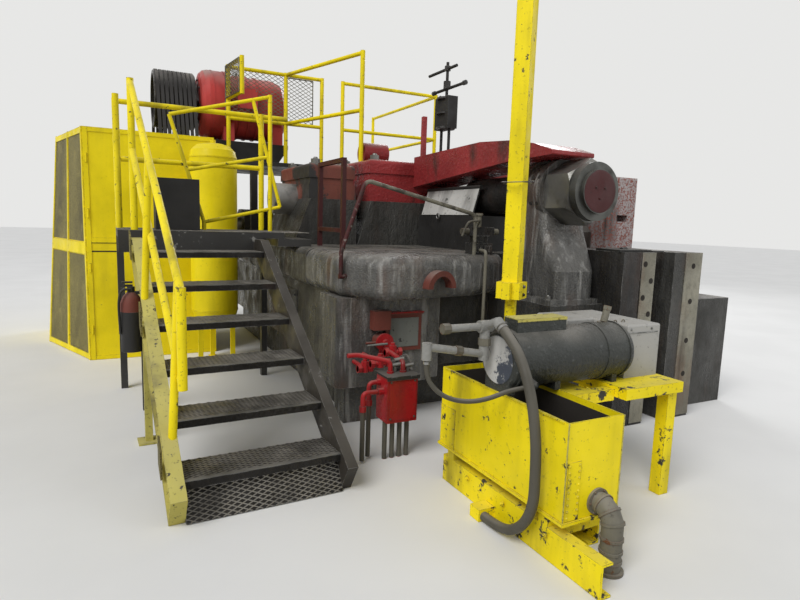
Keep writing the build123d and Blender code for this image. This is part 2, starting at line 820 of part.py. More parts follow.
def motor():
    """Drum-shaped motor with a wide bell at the belt end and a domed tail."""
    joint_x = MOTOR_X[0] + BELL_LEN
    front, middle, tail = [(x, DRIVE_Y, DRIVE_Z) for x in (MOTOR_X[0], joint_x, MOTOR_X[1])]
    body = rounded_rod(tail, middle, MOTOR_R - BODY_STEP, (TAIL_ROUND, BELL_ROUND))
    bell = rounded_rod(front, middle, MOTOR_R, (BELL_ROUND, BODY_STEP))
    bore = bar_x((MOTOR_X[0] - CUT, MOTOR_X[0] + BORE_DEPTH), DRIVE_Y, DRIVE_Z, SHAFT_R + SEAT)
    feet = []
    for share in MOTOR_FEET:
        x = between(MOTOR_X[0], MOTOR_X[1], share)
        ys = (DRIVE_Y - FOOT_HALF_Y, DRIVE_Y + FOOT_HALF_Y)
        feet.append(block((x - FOOT_HALF_X, x + FOOT_HALF_X), ys, (MOTOR_BASE_Z, DRIVE_Z - FOOT_DROP)))
    return body + bell + feet[0] + feet[1] - bore


def motor_base():
    """Base plate of the motor on two bracket plates."""
    ys = (DRIVE_Y - BASE_HALF, DRIVE_Y + BASE_HALF)
    under = MOTOR_BASE_Z - BASE_T
    top = block(BASE_X, ys, (under, MOTOR_BASE_Z))
    outline = [
        (BRACKET_FOOT_X[0], MOTOR_DECK_Z),
        (BRACKET_FOOT_X[1], MOTOR_DECK_Z),
        (BASE_X[1], under),
        (BASE_X[0], under),
    ]
    front = plate_y((ys[0], ys[0] + BRACKET_T), outline)
    rear = plate_y((ys[1] - BRACKET_T, ys[1]), outline)
    return top + front + rear


def motor_sheave():
    """Grooved drum, open at its outer end, with the stub of the motor shaft."""
    outer, inner = SHEAVE_X
    rim = bar_x(SHEAVE_X, DRIVE_Y, DRIVE_Z, SHEAVE_R)
    hollow = bar_x((outer - CUT, inner - SHEAVE_WEB), DRIVE_Y, DRIVE_Z, SHEAVE_R - SHEAVE_RIM)
    hub = bar_x((outer + HUB_INSET, inner - SHEAVE_WEB + CUT), DRIVE_Y, DRIVE_Z, HUB_R)
    shaft = bar_x((inner - CUT, MOTOR_X[0] + BORE_DEPTH - CUT), DRIVE_Y, DRIVE_Z, SHAFT_R)
    return rim - hollow + hub + shaft


def belt_wire(x, small, large):
    """Closed outline of a belt round the sheave and the flywheel."""
    dy, dz = FLYWHEEL_Y - DRIVE_Y, FLYWHEEL_Z - DRIVE_Z
    gap = math.hypot(dy, dz)
    along = Vector(0, dy / gap, dz / gap)
    across = Vector(0, -dz / gap, dy / gap)
    lean = (large - small) / gap
    slope = math.sqrt(1 - lean * lean)
    top, low = Vector(x, DRIVE_Y, DRIVE_Z), Vector(x, FLYWHEEL_Y, FLYWHEEL_Z)
    side_a = along * -lean + across * slope
    side_b = along * -lean - across * slope
    path = [
        ThreePointArc(top + side_b * small, top - along * small, top + side_a * small),
        Line(top + side_a * small, low + side_a * large),
        ThreePointArc(low + side_a * large, low + along * large, low + side_b * large),
        Line(low + side_b * large, top + side_b * small),
    ]
    return Wire(path)


def drive_belts():
    pitch = (SHEAVE_X[1] - SHEAVE_X[0] - 2 * BELT_RIM) / BELT_COUNT
    width = pitch - BELT_SPACE
    belts = []
    for index in range(BELT_COUNT):
        x = SHEAVE_X[0] + BELT_RIM + pitch * (index + 0.5) - width / 2
        inner = SHEAVE_R + BELT_GAP
        outer_face = make_face(belt_wire(x, inner + BELT_T, FLYWHEEL_R + BELT_GAP + BELT_T))
        inner_face = make_face(belt_wire(x, inner, FLYWHEEL_R + RIM_CLEAR))
        belts.append(extrude(outer_face - inner_face, width, dir=(1, 0, 0)))
    return Compound(children=belts)


def back_shaft_bore(xs):
    return bar_x(grown(xs, CUT), FLYWHEEL_Y, FLYWHEEL_Z, BACK_SHAFT_R + PRESS)


def flywheel():
    return bar_x(SHEAVE_X, FLYWHEEL_Y, FLYWHEEL_Z, FLYWHEEL_R) - back_shaft_bore(SHEAVE_X)


def back_shaft():
    xs = (SHEAVE_X[0] - SHAFT_END, BED_LEFT + BEARING_LEN + SHAFT_END)
    return bar_x(xs, FLYWHEEL_Y, FLYWHEEL_Z, BACK_SHAFT_R)


def back_bearing():
    xs = (BED_LEFT, BED_LEFT + BEARING_LEN)
    ys = (FLYWHEEL_Y - BEARING_HALF, FLYWHEEL_Y + BEARING_HALF)
    housing = block(xs, ys, (SHOULDER_TOP, FLYWHEEL_Z + BACK_SHAFT_R + BEARING_WALL))
    housing = fillet(housing.edges().filter_by(Axis.X).sort_by(Axis.Z)[-2:], BEARING_ROUND)
    return housing - back_shaft_bore(xs)


def guard_reach():
    """Half width of the guard from the flywheel's axis, outside its walls."""
    return FLYWHEEL_R + BELT_GAP + BELT_T + GUARD_CLEAR + GUARD_WALL


def guard_shell(inset, top_z):
    """Solid inside the guard's outline, set in by a wall and leaning at the rear left."""
    front, rear = FLYWHEEL_Y - guard_reach(), FLYWHEEL_Y + guard_reach()
    faces = []
    for z, lean in ((0, 0), (top_z, GUARD_LEAN * top_z / guard_top())):
        plan = [
            (GUARD_CORNER[0], front),
            (GUARD_RIGHT, front),
            (GUARD_RIGHT, rear),
            (GUARD_LEFT + lean, rear),
            (GUARD_LEFT + lean, GUARD_CORNER[1]),
        ]
        face = make_face(Polyline(*[(x, y, z) for x, y in plan], close=True))
        faces.append(offset(face, -inset) if inset else face)
    return loft(faces, ruled=True)


def guard_top():
    return FLYWHEEL_Z + FLYWHEEL_R + BELT_GAP + BELT_T + GUARD_HEADROOM + GUARD_WALL


def flywheel_guard():
    """Sheet guard over the flywheel, with the slot that the belts rise through."""
    top = guard_top()
    shell = guard_shell(0, top) - guard_shell(GUARD_WALL, top - GUARD_WALL)
    reach = guard_reach() - GUARD_SLOT_INSET
    slot = block(
        grown(SHEAVE_X, GUARD_SLOT_SIDE),
        (FLYWHEEL_Y - reach, FLYWHEEL_Y + reach),
        (top - GUARD_WALL - CUT, top + CUT),
    )
    return shell - slot - back_shaft_bore((GUARD_RIGHT - GUARD_WALL, GUARD_RIGHT))


def air_receiver():
    """Upright domed tank on three legs."""
    foot, crown = [(*RECEIVER, z) for z in RECEIVER_Z]
    body = rounded_rod(foot, crown, RECEIVER_R, (RECEIVER_ROUND, RECEIVER_ROUND))
    legs = []
    for turn in range(3):
        angle = math.radians(90 + 120 * turn)
        x = RECEIVER[0] + (RECEIVER_R - RECEIVER_LEG) * math.cos(angle)
        y = RECEIVER[1] + (RECEIVER_R - RECEIVER_LEG) * math.sin(angle)
        legs.append(square_bar(x, y, (0, RECEIVER_Z[0] + RECEIVER_ROUND), RECEIVER_LEG))
    return fuse([body] + legs)


def motor_deck():
    """L-shaped platform on legs from the bed and, at the rear, from the floor."""
    under = MOTOR_DECK_Z - MOTOR_DECK_T
    plate = block(DECK_X, DECK_Y, (under, MOTOR_DECK_Z))
    plate += block((REAR_DECK_X, DECK_X[1]), (DECK_Y[1], REAR_DECK_Y), (under, MOTOR_DECK_Z))
    half = DECK_LEG / 2
    legs = []
    for x in (DECK_X[0] + DECK_OVERHANG, DECK_MIDDLE, DECK_X[1] - half):
        for y in (DECK_Y[0] + half, DECK_Y[1] - half):
            legs.append(square_bar(x, y, (SHOULDER_TOP, under), DECK_LEG))
    for x in (REAR_DECK_X + half, DECK_X[1] - half):
        legs.append(square_bar(x, REAR_DECK_Y - half, (0, under), DECK_LEG))
    return fuse([plate] + legs)


def rail_run(corners, base, levels):
    """Posts at the corners with rails from corner to corner at each level."""
    pieces = [bar_z(x, y, (base, max(levels) + RAIL_R + SEAT), POST_R) for x, y in corners]
    for (x0, y0), (x1, y1) in zip(corners, corners[1:]):
        for level in levels:
            pieces.append(rod((x0, y0, level), (x1, y1, level), RAIL_R))
    return fuse(pieces)


def side_panel():
    """Hanging rail frame at the left end of the motor platform."""
    corner, end = (SIDE_RAIL_X, FRONT_RAIL_Y), SIDE_PANEL_END
    top = rod((*corner, DECK_RAIL_Z), (*end, DECK_RAIL_Z), RAIL_R)
    low = rod((*corner, SIDE_PANEL_Z), (*end, SIDE_PANEL_Z), RAIL_R)
    return top + low + bar_z(*end, (SIDE_PANEL_Z - POST_R, DECK_RAIL_Z + RAIL_R + SEAT), POST_R)


def motor_rails():
    """Rails round the motor platform and across to the left bearing cap."""
    levels = (DECK_RAIL_Z, DECK_MID_Z)
    front = [(x, FRONT_RAIL_Y) for x in (SIDE_RAIL_X, MIDDLE_POST_X, GATE_POST_X)]
    rear = [
        (REAR_POST_X, FRONT_RAIL_Y),
        (REAR_CORNER_X, FRONT_RAIL_Y),
        (REAR_CORNER_X, REAR_DECK_Y - DECK_LEG),
    ]
    cap_post = bar_z(*CAP_POST, (MAIN_CAP_TOP, DECK_RAIL_Z + RAIL_R + SEAT), POST_R)
    bridge = [rod((*CAP_POST, z), (MIDDLE_POST_X, FRONT_RAIL_Y, z), RAIL_R) for z in levels]
    left = rail_run(front, MOTOR_DECK_Z, levels) + side_panel() + cap_post + bridge[0] + bridge[1]
    return Compound(children=list(left.solids()) + list(rail_run(rear, MOTOR_DECK_Z, levels).solids()))


def motor_screens():
    """Mesh panels behind the front rail and in the side panel."""
    ys = (FRONT_RAIL_Y + POST_R + SEAT, FRONT_RAIL_Y + POST_R + SCREEN_T)
    front = block((SIDE_RAIL_X - POST_R, MIDDLE_POST_X + POST_R), ys, (DECK_MID_Z, DECK_RAIL_Z))
    x = SIDE_RAIL_X - POST_R - SEAT
    slant = SIDE_PANEL_END[0] - SIDE_RAIL_X
    side = plate_z((SIDE_PANEL_Z, DECK_RAIL_Z), [
        (x, FRONT_RAIL_Y),
        (x - SCREEN_T, FRONT_RAIL_Y),
        (x - SCREEN_T + slant, SIDE_PANEL_END[1]),
        (x + slant, SIDE_PANEL_END[1]),
    ])
    return Compound(children=[front, side])


def turned_stair(shape):
    """A stair piece turned in plan with the whole stair."""
    x = (STAIR_LEFT + STAIR_RIGHT) / 2
    return Pos(x, FIRST_NOSING, 0) * Rot(0, 0, STAIR_TURN) * Pos(-x, -FIRST_NOSING, 0) * shape


def nosing_line(y):
    return RISER + (y - FIRST_NOSING) * RISER / GOING


def stringer_outline():
    """Side outline of a stringer, cut level under the landing."""
    level = LANDING_Z - LANDING_T
    slope = RISER / GOING
    lift = STRINGER_LIFT
    toe = FIRST_NOSING + (STRINGER_DEPTH - lift - RISER) / slope
    rear = LANDING_Y[0] + STRINGER_OVERRUN
    return [
        (STRINGER_TIP_Y, nosing_line(STRINGER_TIP_Y) + lift),
        (toe, 0),
        (rear, nosing_line(rear) + lift - STRINGER_DEPTH),
        (rear, level),
        (FIRST_NOSING + (level - RISER - lift) / slope, level),
    ]


def stringer(web, flange):
    """Channel with its web against the treads and its flanges outward."""
    outline = stringer_outline()
    full = plate_x((min(web + flange), max(web + flange)), outline)
    face = make_face(Polyline(*[(flange[0], y, z) for y, z in outline], close=True))
    inner = extrude(offset(face, -FLANGE_T), flange[1] - flange[0], dir=(1, 0, 0))
    channel = turned_stair(full - inner)
    beyond = block(grown(LANDING_X, RISER), (LANDING_Y[0], LANDING_Y[1]), (0, LANDING_Z))
    return channel - beyond


def left_stringer():
    """Left channel with the post that carries its middle."""
    web = (STAIR_LEFT - STRINGER_T, STAIR_LEFT)
    flange = (web[0] - LEFT_FLANGE, web[0])
    x = (flange[0] + flange[1]) / 2
    under = nosing_line(STAIR_PROP_Y) + STRINGER_LIFT - STRINGER_DEPTH
    prop = square_bar(x, STAIR_PROP_Y, (0, under + FLANGE_T), STAIR_PROP_W)
    foot = square_bar(x, STAIR_PROP_Y, (0, STRINGER_T), 3 * STAIR_PROP_W)
    return stringer(web, flange) + turned_stair(prop + foot)


def right_stringer():
    web = (STAIR_RIGHT, STAIR_RIGHT + STRINGER_T)
    return stringer(web, (web[1], web[1] + RIGHT_FLANGE))


def stair_treads():
    """Folded treads, and the leaning panel in front of the lowest one."""
    xs = (STAIR_LEFT, STAIR_RIGHT)
    treads = []
    for step in range(TREAD_COUNT):
        front = FIRST_NOSING + step * GOING
        rear = front + TREAD_DEPTH
        top = RISER * (step + 1)
        plate = block(xs, (front, rear), (top - TREAD_T, top))
        nosing = block(xs, (front, front + TREAD_T), (top - NOSING_H, top - TREAD_T))
        back = block(xs, (rear - TREAD_T, rear), (top - NOSING_H, top - TREAD_T))
        treads.append(turned_stair(plate + nosing + back))
    toe = plate_x(xs, [
        (TOE_Y[0], TOE_Z[0]),
        (TOE_Y[0] + TOE_T, TOE_Z[0]),
        (TOE_Y[1] + TOE_T, TOE_Z[1]),
        (TOE_Y[1], TOE_Z[1]),
    ])
    return Compound(children=treads + [turned_stair(toe)])


def stair_handrail():
    """Sloping handrail with its dropped end, and posts from the left stringer."""
    top, bend = Vector(*HAND_TOP), Vector(*HAND_BEND)
    drop = Vector(0, 0, -HAND_DROP)
    pieces = [
        rod(bend, top, RAIL_R),
        rod(bend + drop, top + drop, RAIL_R),
        bar_z(bend.X, bend.Y, (bend.Z - HAND_DROP - RAIL_R, bend.Z + RAIL_R), POST_R),
        bar_z(top.X, top.Y, (LANDING_Z, top.Z + RAIL_R + SEAT), POST_R),
    ]
    for y in HAND_POST_Y:
        share = (y - bend.Y) / (top.Y - bend.Y)
        head = bend + (top - bend) * share
        foot = (head.X - HAND_POST_OUT, y, nosing_line(y) - STRINGER_LIFT)
        pieces.append(rod(foot, head, RAIL_R))
    tip, toe, low, high, end = stringer_outline()
    below = plate_x((STAIR_LEFT - 2 * LEFT_FLANGE, STAIR_LEFT), [tip, toe, (low[0], 0), high, end])
    return fuse(pieces) - turned_stair(below)


def landing_deck():
    """Landing on legs, with a bracket that rests on the bed's shoulder."""
    under = LANDING_Z - LANDING_T
    plate = block(LANDING_X, LANDING_Y, (under, LANDING_Z))
    plate -= block(
        (LANDING_NOTCH[0], LANDING_X[1] + CUT),
        (LANDING_Y[0] - CUT, LANDING_NOTCH[1]),
        (under, LANDING_Z),
    )
    beam = block(
        (LANDING_X[0], LANDING_NOTCH[0]),
        (LANDING_Y[0], LANDING_Y[0] + POST),
        (under - LANDING_BEAM_H, under),
    )
    legs = [square_bar(x, y, (0, under), POST) for x, y in LANDING_LEGS]
    bracket = block(
        (LANDING_X[1] - POST, SHOULDER_LEFT + LANDING_SEAT),
        (LANDING_NOTCH[1], -CAP_HALF_LEN - 2 * PEDESTAL_LEDGE),
        (SHOULDER_TOP, under),
    )
    return fuse([plate, beam, bracket] + legs)


def landing_rails():
    rear = LANDING_Y[1] - POST_R
    left = LANDING_X[0] + POST_R
    corners = [(left, LANDING_POST_Y), (left, rear), (LANDING_POST_X, rear)]
    run = rail_run(corners, LANDING_Z, (LANDING_RAIL_Z, LANDING_MID_Z))
    return run + bar_x((LANDING_POST_X, LANDING_RAIL_END), rear, LANDING_RAIL_Z, RAIL_R)


def leaning_gate():
    """Tubular gate that has slipped to a slant on the landing."""
    y = GATE_Y
    pairs = [
        (GATE_TOP[0], GATE_TOP[1]),
        (GATE_FOOT, GATE_TOE),
        (GATE_TOP[0], GATE_FOOT),
        (GATE_TOP_RIGHT, GATE_TOE),
        (GATE_BRACE[0], GATE_BRACE[1]),
    ]
    bars = [rod((a[0], y, a[1]), (b[0], y, b[1]), GATE_R) for a, b in pairs]
    bars.append(bar_z(GATE_TOP[1][0], y, (LANDING_Z, GATE_TOP[1][1] + GATE_R), GATE_POST_R))
    bars.append(bar_z(GATE_FOOT[0], y, (LANDING_Z, GATE_FOOT[1]), GATE_POST_R))
    return fuse(bars)


def landing_bin():
    """Open sheet bin on the landing."""
    top = LANDING_Z + BIN_H
    outer = block(BIN_X, BIN_Y, (LANDING_Z, top))
    inner = block(grown(BIN_X, -BIN_WALL), grown(BIN_Y, -BIN_WALL), (LANDING_Z + BIN_WALL, top + CUT))
    return outer - inner


def spray_tank():
    """Open tank with a lip round its foot."""
    outer = block(TANK_X, TANK_Y, TANK_Z)
    lip = block(grown(TANK_X, TANK_LIP), grown(TANK_Y, TANK_LIP), (TANK_Z[0], TANK_Z[0] + TANK_LIP_H))
    inner = block(
        grown(TANK_X, -TANK_WALL),
        grown(TANK_Y, -TANK_WALL),
        (TANK_Z[0] + TANK_WALL, TANK_Z[1] + CUT),
    )
    return outer + lip - inner


def skid_rail(outer, inner, ys):
    """Channel on its edge with its web at the outer x."""
    side = SKID_T if inner > outer else -SKID_T
    outline = [
        (outer, 0),
        (inner, 0),
        (inner, SKID_T),
        (outer + side, SKID_T),
        (outer + side, SKID_H - SKID_T),
        (inner, SKID_H - SKID_T),
        (inner, SKID_H),
        (outer, SKID_H),
    ]
    return plate_y(ys, outline)


def tank_skid():
    """Two floor channels with the blocks and cross bars under the tank."""
    left, right = TANK_X
    pieces = [
        skid_rail(left, left + SKID_FLANGE, SKID_Y),
        skid_rail(right, right - SKID_FLANGE, (TANK_Y[0] + SKID_SETBACK, SKID_Y[1])),
    ]
    for y in (TANK_Y[0] + SKID_SETBACK, TANK_Y[1] - SKID_SETBACK - SKID_FLANGE):
        ys = (y, y + SKID_FLANGE)
        pieces.append(block(TANK_X, ys, (SKID_H, TANK_Z[0])))
        pieces.append(block(grown(TANK_X, -SKID_T), ys, (SKID_H - SKID_FLANGE, SKID_H - SKID_T)))
    x, y, _ = HOSE_ROUTE[-1]
    pieces.append(block((x - SOCKET_W / 2, left), (y, y + SOCKET_LEN), (0, SOCKET_W)))
    return fuse(pieces)


def tank_bracket():
    """Angle-edged table beside the tank, its leg and its box bracket."""
    top = TANK_Z[1]
    skirt = (top - TABLE_APRON, top)
    shelf = block(TABLE_X, TABLE_Y, (top - TABLE_T, top))
    front = block(TABLE_X, (TABLE_Y[0], TABLE_Y[0] + TABLE_T), skirt)
    rear = block(TABLE_X, (TABLE_Y[1] - TABLE_T, TABLE_Y[1]), skirt)
    left = block((TABLE_X[0], TABLE_X[0] + TABLE_T), TABLE_Y, skirt)
    half = TABLE_LEG / 2
    legs = [
        square_bar(TABLE_X[1] - half, y, (0, top - TABLE_T), TABLE_LEG)
        for y in (TABLE_Y[0] + TABLE_LEG, TABLE_Y[1] - half)
    ]
    box = block((TANK_X[1], BOX_RIGHT), BOX_Y, BOX_Z)
    hollow = block(
        (TANK_X[1] - CUT, BOX_RIGHT - BOX_WALL),
        (BOX_Y[0] - CUT, BOX_Y[1] - BOX_WALL),
        BOX_HOLE_Z,
    )
    arm = block(
        (BOX_RIGHT - BOX_WALL, TABLE_X[0]),
        (BOX_Y[0], BOX_Y[0] + TABLE_LEG),
        (BOX_Z[1] - TABLE_APRON, BOX_Z[1]),
    )
    return fuse([shelf, front, rear, left, box - hollow, arm] + legs)


def vessel_z():
    return TANK_Z[1] + VESSEL_LIFT + VESSEL_R


def air_vessel():
    """Lying vessel on saddles, with the box over its left end."""
    z = vessel_z()
    left, right = [(x, VESSEL_Y, z) for x in (VESSEL_LEFT, COVER_X[0] - COVER_GAP)]
    pieces = [rounded_rod(left, right, VESSEL_R, (VESSEL_ROUND, VESSEL_ROUND))]
    ys = (VESSEL_Y - SADDLE_HALF, VESSEL_Y + SADDLE_HALF)
    for x in (TANK_X[0], TANK_X[1] - SADDLE_W, TABLE_X[0] + SADDLE_W):
        pieces.append(block((x, x + SADDLE_W), ys, (TANK_Z[1], z)))
    pieces.append(block(RELAY_X, RELAY_Y, (z + VESSEL_R / 2, RELAY_TOP)))
    return fuse(pieces + vessel_pipes())


def vessel_pipes():
    """Pipes at the vessel's left end, with the spigots that take the two hoses."""
    z = RELAY_TOP - 2 * PIPE_R
    elbow_x = HOSE_START[0]
    pipes = [
        bar_x((PIPE_END_X, RELAY_X[0] + CUT), PIPE_Y, z, PIPE_R),
        bar_x((elbow_x - REDUCER_HALF, elbow_x + REDUCER_HALF), PIPE_Y, z, REDUCER_R),
        bar_z(elbow_x, PIPE_Y, (LOW_PIPE_Z - REDUCER_R, z + PIPE_R), REDUCER_R - CUT),
        rod((elbow_x, PIPE_Y, LOW_PIPE_Z), LOW_PIPE_END, PIPE_R),
        rod((elbow_x, PIPE_Y, z), HOSE_ELBOW, PIPE_R),
        rod(HOSE_ELBOW, HOSE_START, SPIGOT_R),
        bar_z(LOW_PIPE_END[0], PIPE_Y, (THIN_HOSE_ROUTE[0][2], LOW_PIPE_END[2] + PIPE_R), PIPE_R + CUT),
        rod(PORT_ROOT, PORT_ELBOW, PORT_R),
        rod(PORT_ELBOW, THIN_HOSE_ROUTE[-1], PORT_R),
    ]
    return pipes


def pump_cover():
    """Sheet hood over the pump, lower at the left."""
    base = TANK_Z[1]
    hood = block(COVER_X, COVER_Y, (base, base + COVER_H))
    wing = block(
        (WING_X, COVER_X[0]),
        (COVER_Y[1] - WING_LEN, COVER_Y[1]),
        (base + WING_LIFT, base + COVER_H),
    )
    return fillet((hood + wing).faces().sort_by(Axis.Z)[-1].edges(), COVER_ROUND)


def drain_elbow():
    """Drain pipe from the tank's front wall to the floor, with its elbow made of gores."""
    x, z = DRAIN_X, DRAIN_Z
    hub_y, hub_z = TANK_Y[0] - DRAIN_REACH + DRAIN_BEND, z - DRAIN_BEND
    half_gore = math.radians(90 / DRAIN_GORES / 2)
    reach = DRAIN_BEND / math.cos(half_gore)
    points = [(x, TANK_Y[0], z)]
    for gore in range(DRAIN_GORES):
        turn = half_gore * (2 * gore + 1)
        points.append((x, hub_y - reach * math.sin(turn), hub_z + reach * math.cos(turn)))
    points.append((x, TANK_Y[0] - DRAIN_REACH, 0))
    path = Polyline(*points)
    section = Plane(origin=path @ 0, z_dir=path % 0) * Circle(DRAIN_R)
    pipe = sweep(section, path=path, transition=Transition.RIGHT)
    collar = bar_y(x, (TANK_Y[0] - DRAIN_COLLAR_T, TANK_Y[0]), z, DRAIN_R + DRAIN_COLLAR)
    foot = bar_z(x, TANK_Y[0] - DRAIN_REACH, (0, DRAIN_COLLAR_T), DRAIN_R + DRAIN_COLLAR)
    return pipe + collar + foot


def big_hose():
    """Hose from the vessel's pipe down to the floor beside the tank."""
    return hose(HOSE_ROUTE, HOSE_R)


def thin_hose():
    """Hose that sags from the lower pipe to the port on the vessel."""
    return hose(THIN_HOSE_ROUTE, THIN_HOSE_R)


def hoist_post():
    """Square mast in a collar on a round pin, turned in plan."""
    x, y = MAST_XY
    mast = square_bar(0, 0, MAST_Z, MAST_W)
    collar = square_bar(0, 0, (MAST_Z[0] - COLLAR_H, MAST_Z[0]), COLLAR_W)
    lug = block((-COLLAR_W / 2 - LUG_OUT, 0), (-LUG_W / 2, LUG_W / 2), (MAST_Z[0] - COLLAR_H, MAST_Z[0]))
    foot = square_bar(0, 0, (0, MAST_FOOT_T), MAST_FOOT_W)
    pin = bar_z(0, 0, (0, MAST_Z[0] - COLLAR_H + CUT), MAST_PIN_R)
    return Pos(x, y, 0) * Rot(0, 0, MAST_TURN) * (mast + collar + lug + foot + pin)


def oil_valve_stand():
    """Valve body on two rods over the left beam, with its cross arms."""
    x = VALVE_X
    foot = plate_x((x - VALVE_FOOT_HALF, x + VALVE_FOOT_HALF), [
        (VALVE_FOOT_Y[0], beam_top(VALVE_FOOT_Y[0])),
        (VALVE_FOOT_Y[1], beam_top(VALVE_FOOT_Y[1])),
        (VALVE_FOOT_Y[1], beam_top(VALVE_FOOT_Y[1]) + VALVE_FOOT_T),
        (VALVE_FOOT_Y[0], beam_top(VALVE_FOOT_Y[0]) + VALVE_FOOT_T),
    ])
    body = block((x - VALVE_HALF, x + VALVE_HALF), VALVE_Y, VALVE_Z)
    middle = (VALVE_Y[0] + VALVE_Y[1]) / 2
    pieces = [foot, body, bar_z(x, middle, (VALVE_Z[1], VALVE_STEM_TOP), VALVE_ROD_R)]
    for y in (VALVE_Y[0] + VALVE_HALF, VALVE_Y[1] - VALVE_HALF):
        pieces.append(bar_z(x, y, (beam_top(y) + VALVE_FOOT_T / 2, VALVE_Z[0]), VALVE_ROD_R))
    for z, ys in VALVE_ARMS:
        pieces.append(bar_y(x, ys, z, VALVE_ROD_R))
    return fuse(pieces)


def junction_box():
    """Electric box on the conduits that rise from the floor."""
    box = block(JUNCTION_X, JUNCTION_Y, JUNCTION_Z)
    y = (JUNCTION_Y[0] + JUNCTION_Y[1]) / 2
    pitch = (JUNCTION_X[1] - JUNCTION_X[0]) / CONDUITS
    pieces = [box]
    for index in range(CONDUITS):
        x = JUNCTION_X[0] + pitch * (index + 0.5)
        pieces.append(bar_z(x, y, (0, JUNCTION_Z[0]), CONDUIT_R))
    return fuse(pieces)


def valve_panel():
    """Panel, switch box and lever valve on the wall under the grip housing."""
    wall = GRIP_WALL_FRONT
    panel = block(PANEL_X, (wall - PANEL_T, wall), PANEL_Z)
    hood = block(PANEL_X, (wall - 2 * PANEL_T, wall), (PANEL_Z[1], PANEL_Z[1] + PANEL_T / 2))
    box = block(SWITCH_X, (wall - SWITCH_DEPTH, wall), SWITCH_Z)
    valve = bar_y(VALVE_BODY[0], (wall - SWITCH_DEPTH, wall), VALVE_BODY[1], VALVE_BODY_R)
    tip = (VALVE_BODY[0] - LEVER_REACH, wall - SWITCH_DEPTH + LEVER_R, VALVE_BODY[1])
    lever = rod((VALVE_BODY[0], wall - SWITCH_DEPTH + LEVER_R, VALVE_BODY[1]), tip, LEVER_R)
    return fuse([panel, hood, box, valve, lever])


def ladder_frame():
    """Frame of angles that stands on the bed beside the outer cap."""
    x = LADDER_X
    pieces = []
    for y in (LADDER_Y[0], LADDER_Y[1] - LADDER_BAR):
        pieces.append(block((x, x + LADDER_BAR), (y, y + LADDER_BAR), (SHOULDER_TOP, LADDER_TOP)))
    for z in (LADDER_RUNG, LADDER_TOP - LADDER_BAR):
        pieces.append(block((x, x + LADDER_BAR), LADDER_Y, (z, z + LADDER_BAR)))
    return fuse(pieces)


def pipe_arch():
    """Pipe that rises beside the grip housing and runs over it."""
    y = ARCH_Y
    points = [(ARCH_LEFT[0], y, ARCH_LEFT[1])] + [(x, y, z) for x, z in ARCH_CORNERS]
    points += [(ARCH_CORNERS[-1][0], y, SHOULDER_TOP)]
    pipe = bent_pipe(points, ARCH_R, ARCH_BEND)
    stub = bar_x((ARCH_LEFT[0] - ARCH_R, GRIP_PLAN[3][0]), y, ARCH_LEFT[1], ARCH_R + PIPE_WALL)
    return (pipe + stub) - plate_z((BODY_TOP, SHOULDER_TOP), GRIP_PLAN)


def hose_saddle():
    """Half ring on the front of the grip housing that carries hoses."""
    start, end = Vector(*GRIP_PLAN[3], 0), Vector(*GRIP_PLAN[4], 0)
    along = (end - start).normalized()
    spot = start + along * HOOK_ALONG
    plane = Plane(origin=(spot.X, spot.Y, HOOK_Z), x_dir=along, z_dir=(along.Y, -along.X, 0))
    ring = Circle(HOOK_R) - Circle(HOOK_R - HOOK_WALL)
    upper = Pos(0, HOOK_R) * Rectangle(2 * HOOK_R, 2 * HOOK_R)
    return extrude(plane * (ring & upper), HOOK_LEN)


PLAIN = {
    "bed_frame": bed_frame,
    "grip_housing": grip_housing,
    "outer_bearing_cap": lambda: bearing_cap(OUTER_CAP_X, OUTER_CAP_TOP),
    "left_bearing_cap": left_bearing_cap,
    "right_bearing_cap": lambda: bearing_cap(RIGHT_CAP_X, MAIN_CAP_TOP),
    "left_tie_beam": left_tie_beam,
    "right_tie_beam": right_tie_beam,
    "left_front_upright": left_front_upright,
    "right_front_upright": right_front_upright,
    "tie_rod": tie_rod,
    "tie_rod_nut": tie_rod_nut,
    "tie_rod_cap": tie_rod_cap,
    "crankshaft": crankshaft,
    "pitman": pitman,
    "left_die_block": left_die_block,
    "right_die_block": lambda: die_block(DIE_RIGHT_X),
    "heading_slide": heading_slide,
    "slide_cover": slide_cover,
    "throat_cover": throat_cover,
    "motor": motor,
    "motor_base": motor_base,
    "motor_sheave": motor_sheave,
    "drive_belts": drive_belts,
    "flywheel": flywheel,
    "back_shaft": back_shaft,
    "back_bearing": back_bearing,
    "flywheel_guard": flywheel_guard,
    "air_receiver": air_receiver,
    "motor_deck": motor_deck,
    "motor_rails": motor_rails,
    "motor_screens": motor_screens,
    "left_stringer": left_stringer,
    "right_stringer": right_stringer,
    "stair_treads": stair_treads,
    "stair_handrail": stair_handrail,
    "landing_deck": landing_deck,
    "landing_rails": landing_rails,
    "leaning_gate": leaning_gate,
    "landing_bin": landing_bin,
    "spray_tank": spray_tank,
    "tank_skid": tank_skid,
    "tank_bracket": tank_bracket,
    "air_vessel": air_vessel,
    "pump_cover": pump_cover,
    "drain_elbow": drain_elbow,
    "big_hose": big_hose,
    "thin_hose": thin_hose,
    "hoist_post": hoist_post,
    "oil_valve_stand": oil_valve_stand,
    "junction_box": junction_box,
    "valve_panel": valve_panel,
    "ladder_frame": ladder_frame,
    "pipe_arch": pipe_arch,
    "hose_saddle": hose_saddle,
}

for name, make in PLAIN.items():
    save(name, make())
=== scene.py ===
import math
from itertools import product

import bmesh
import bpy
from mathutils import Matrix, Vector


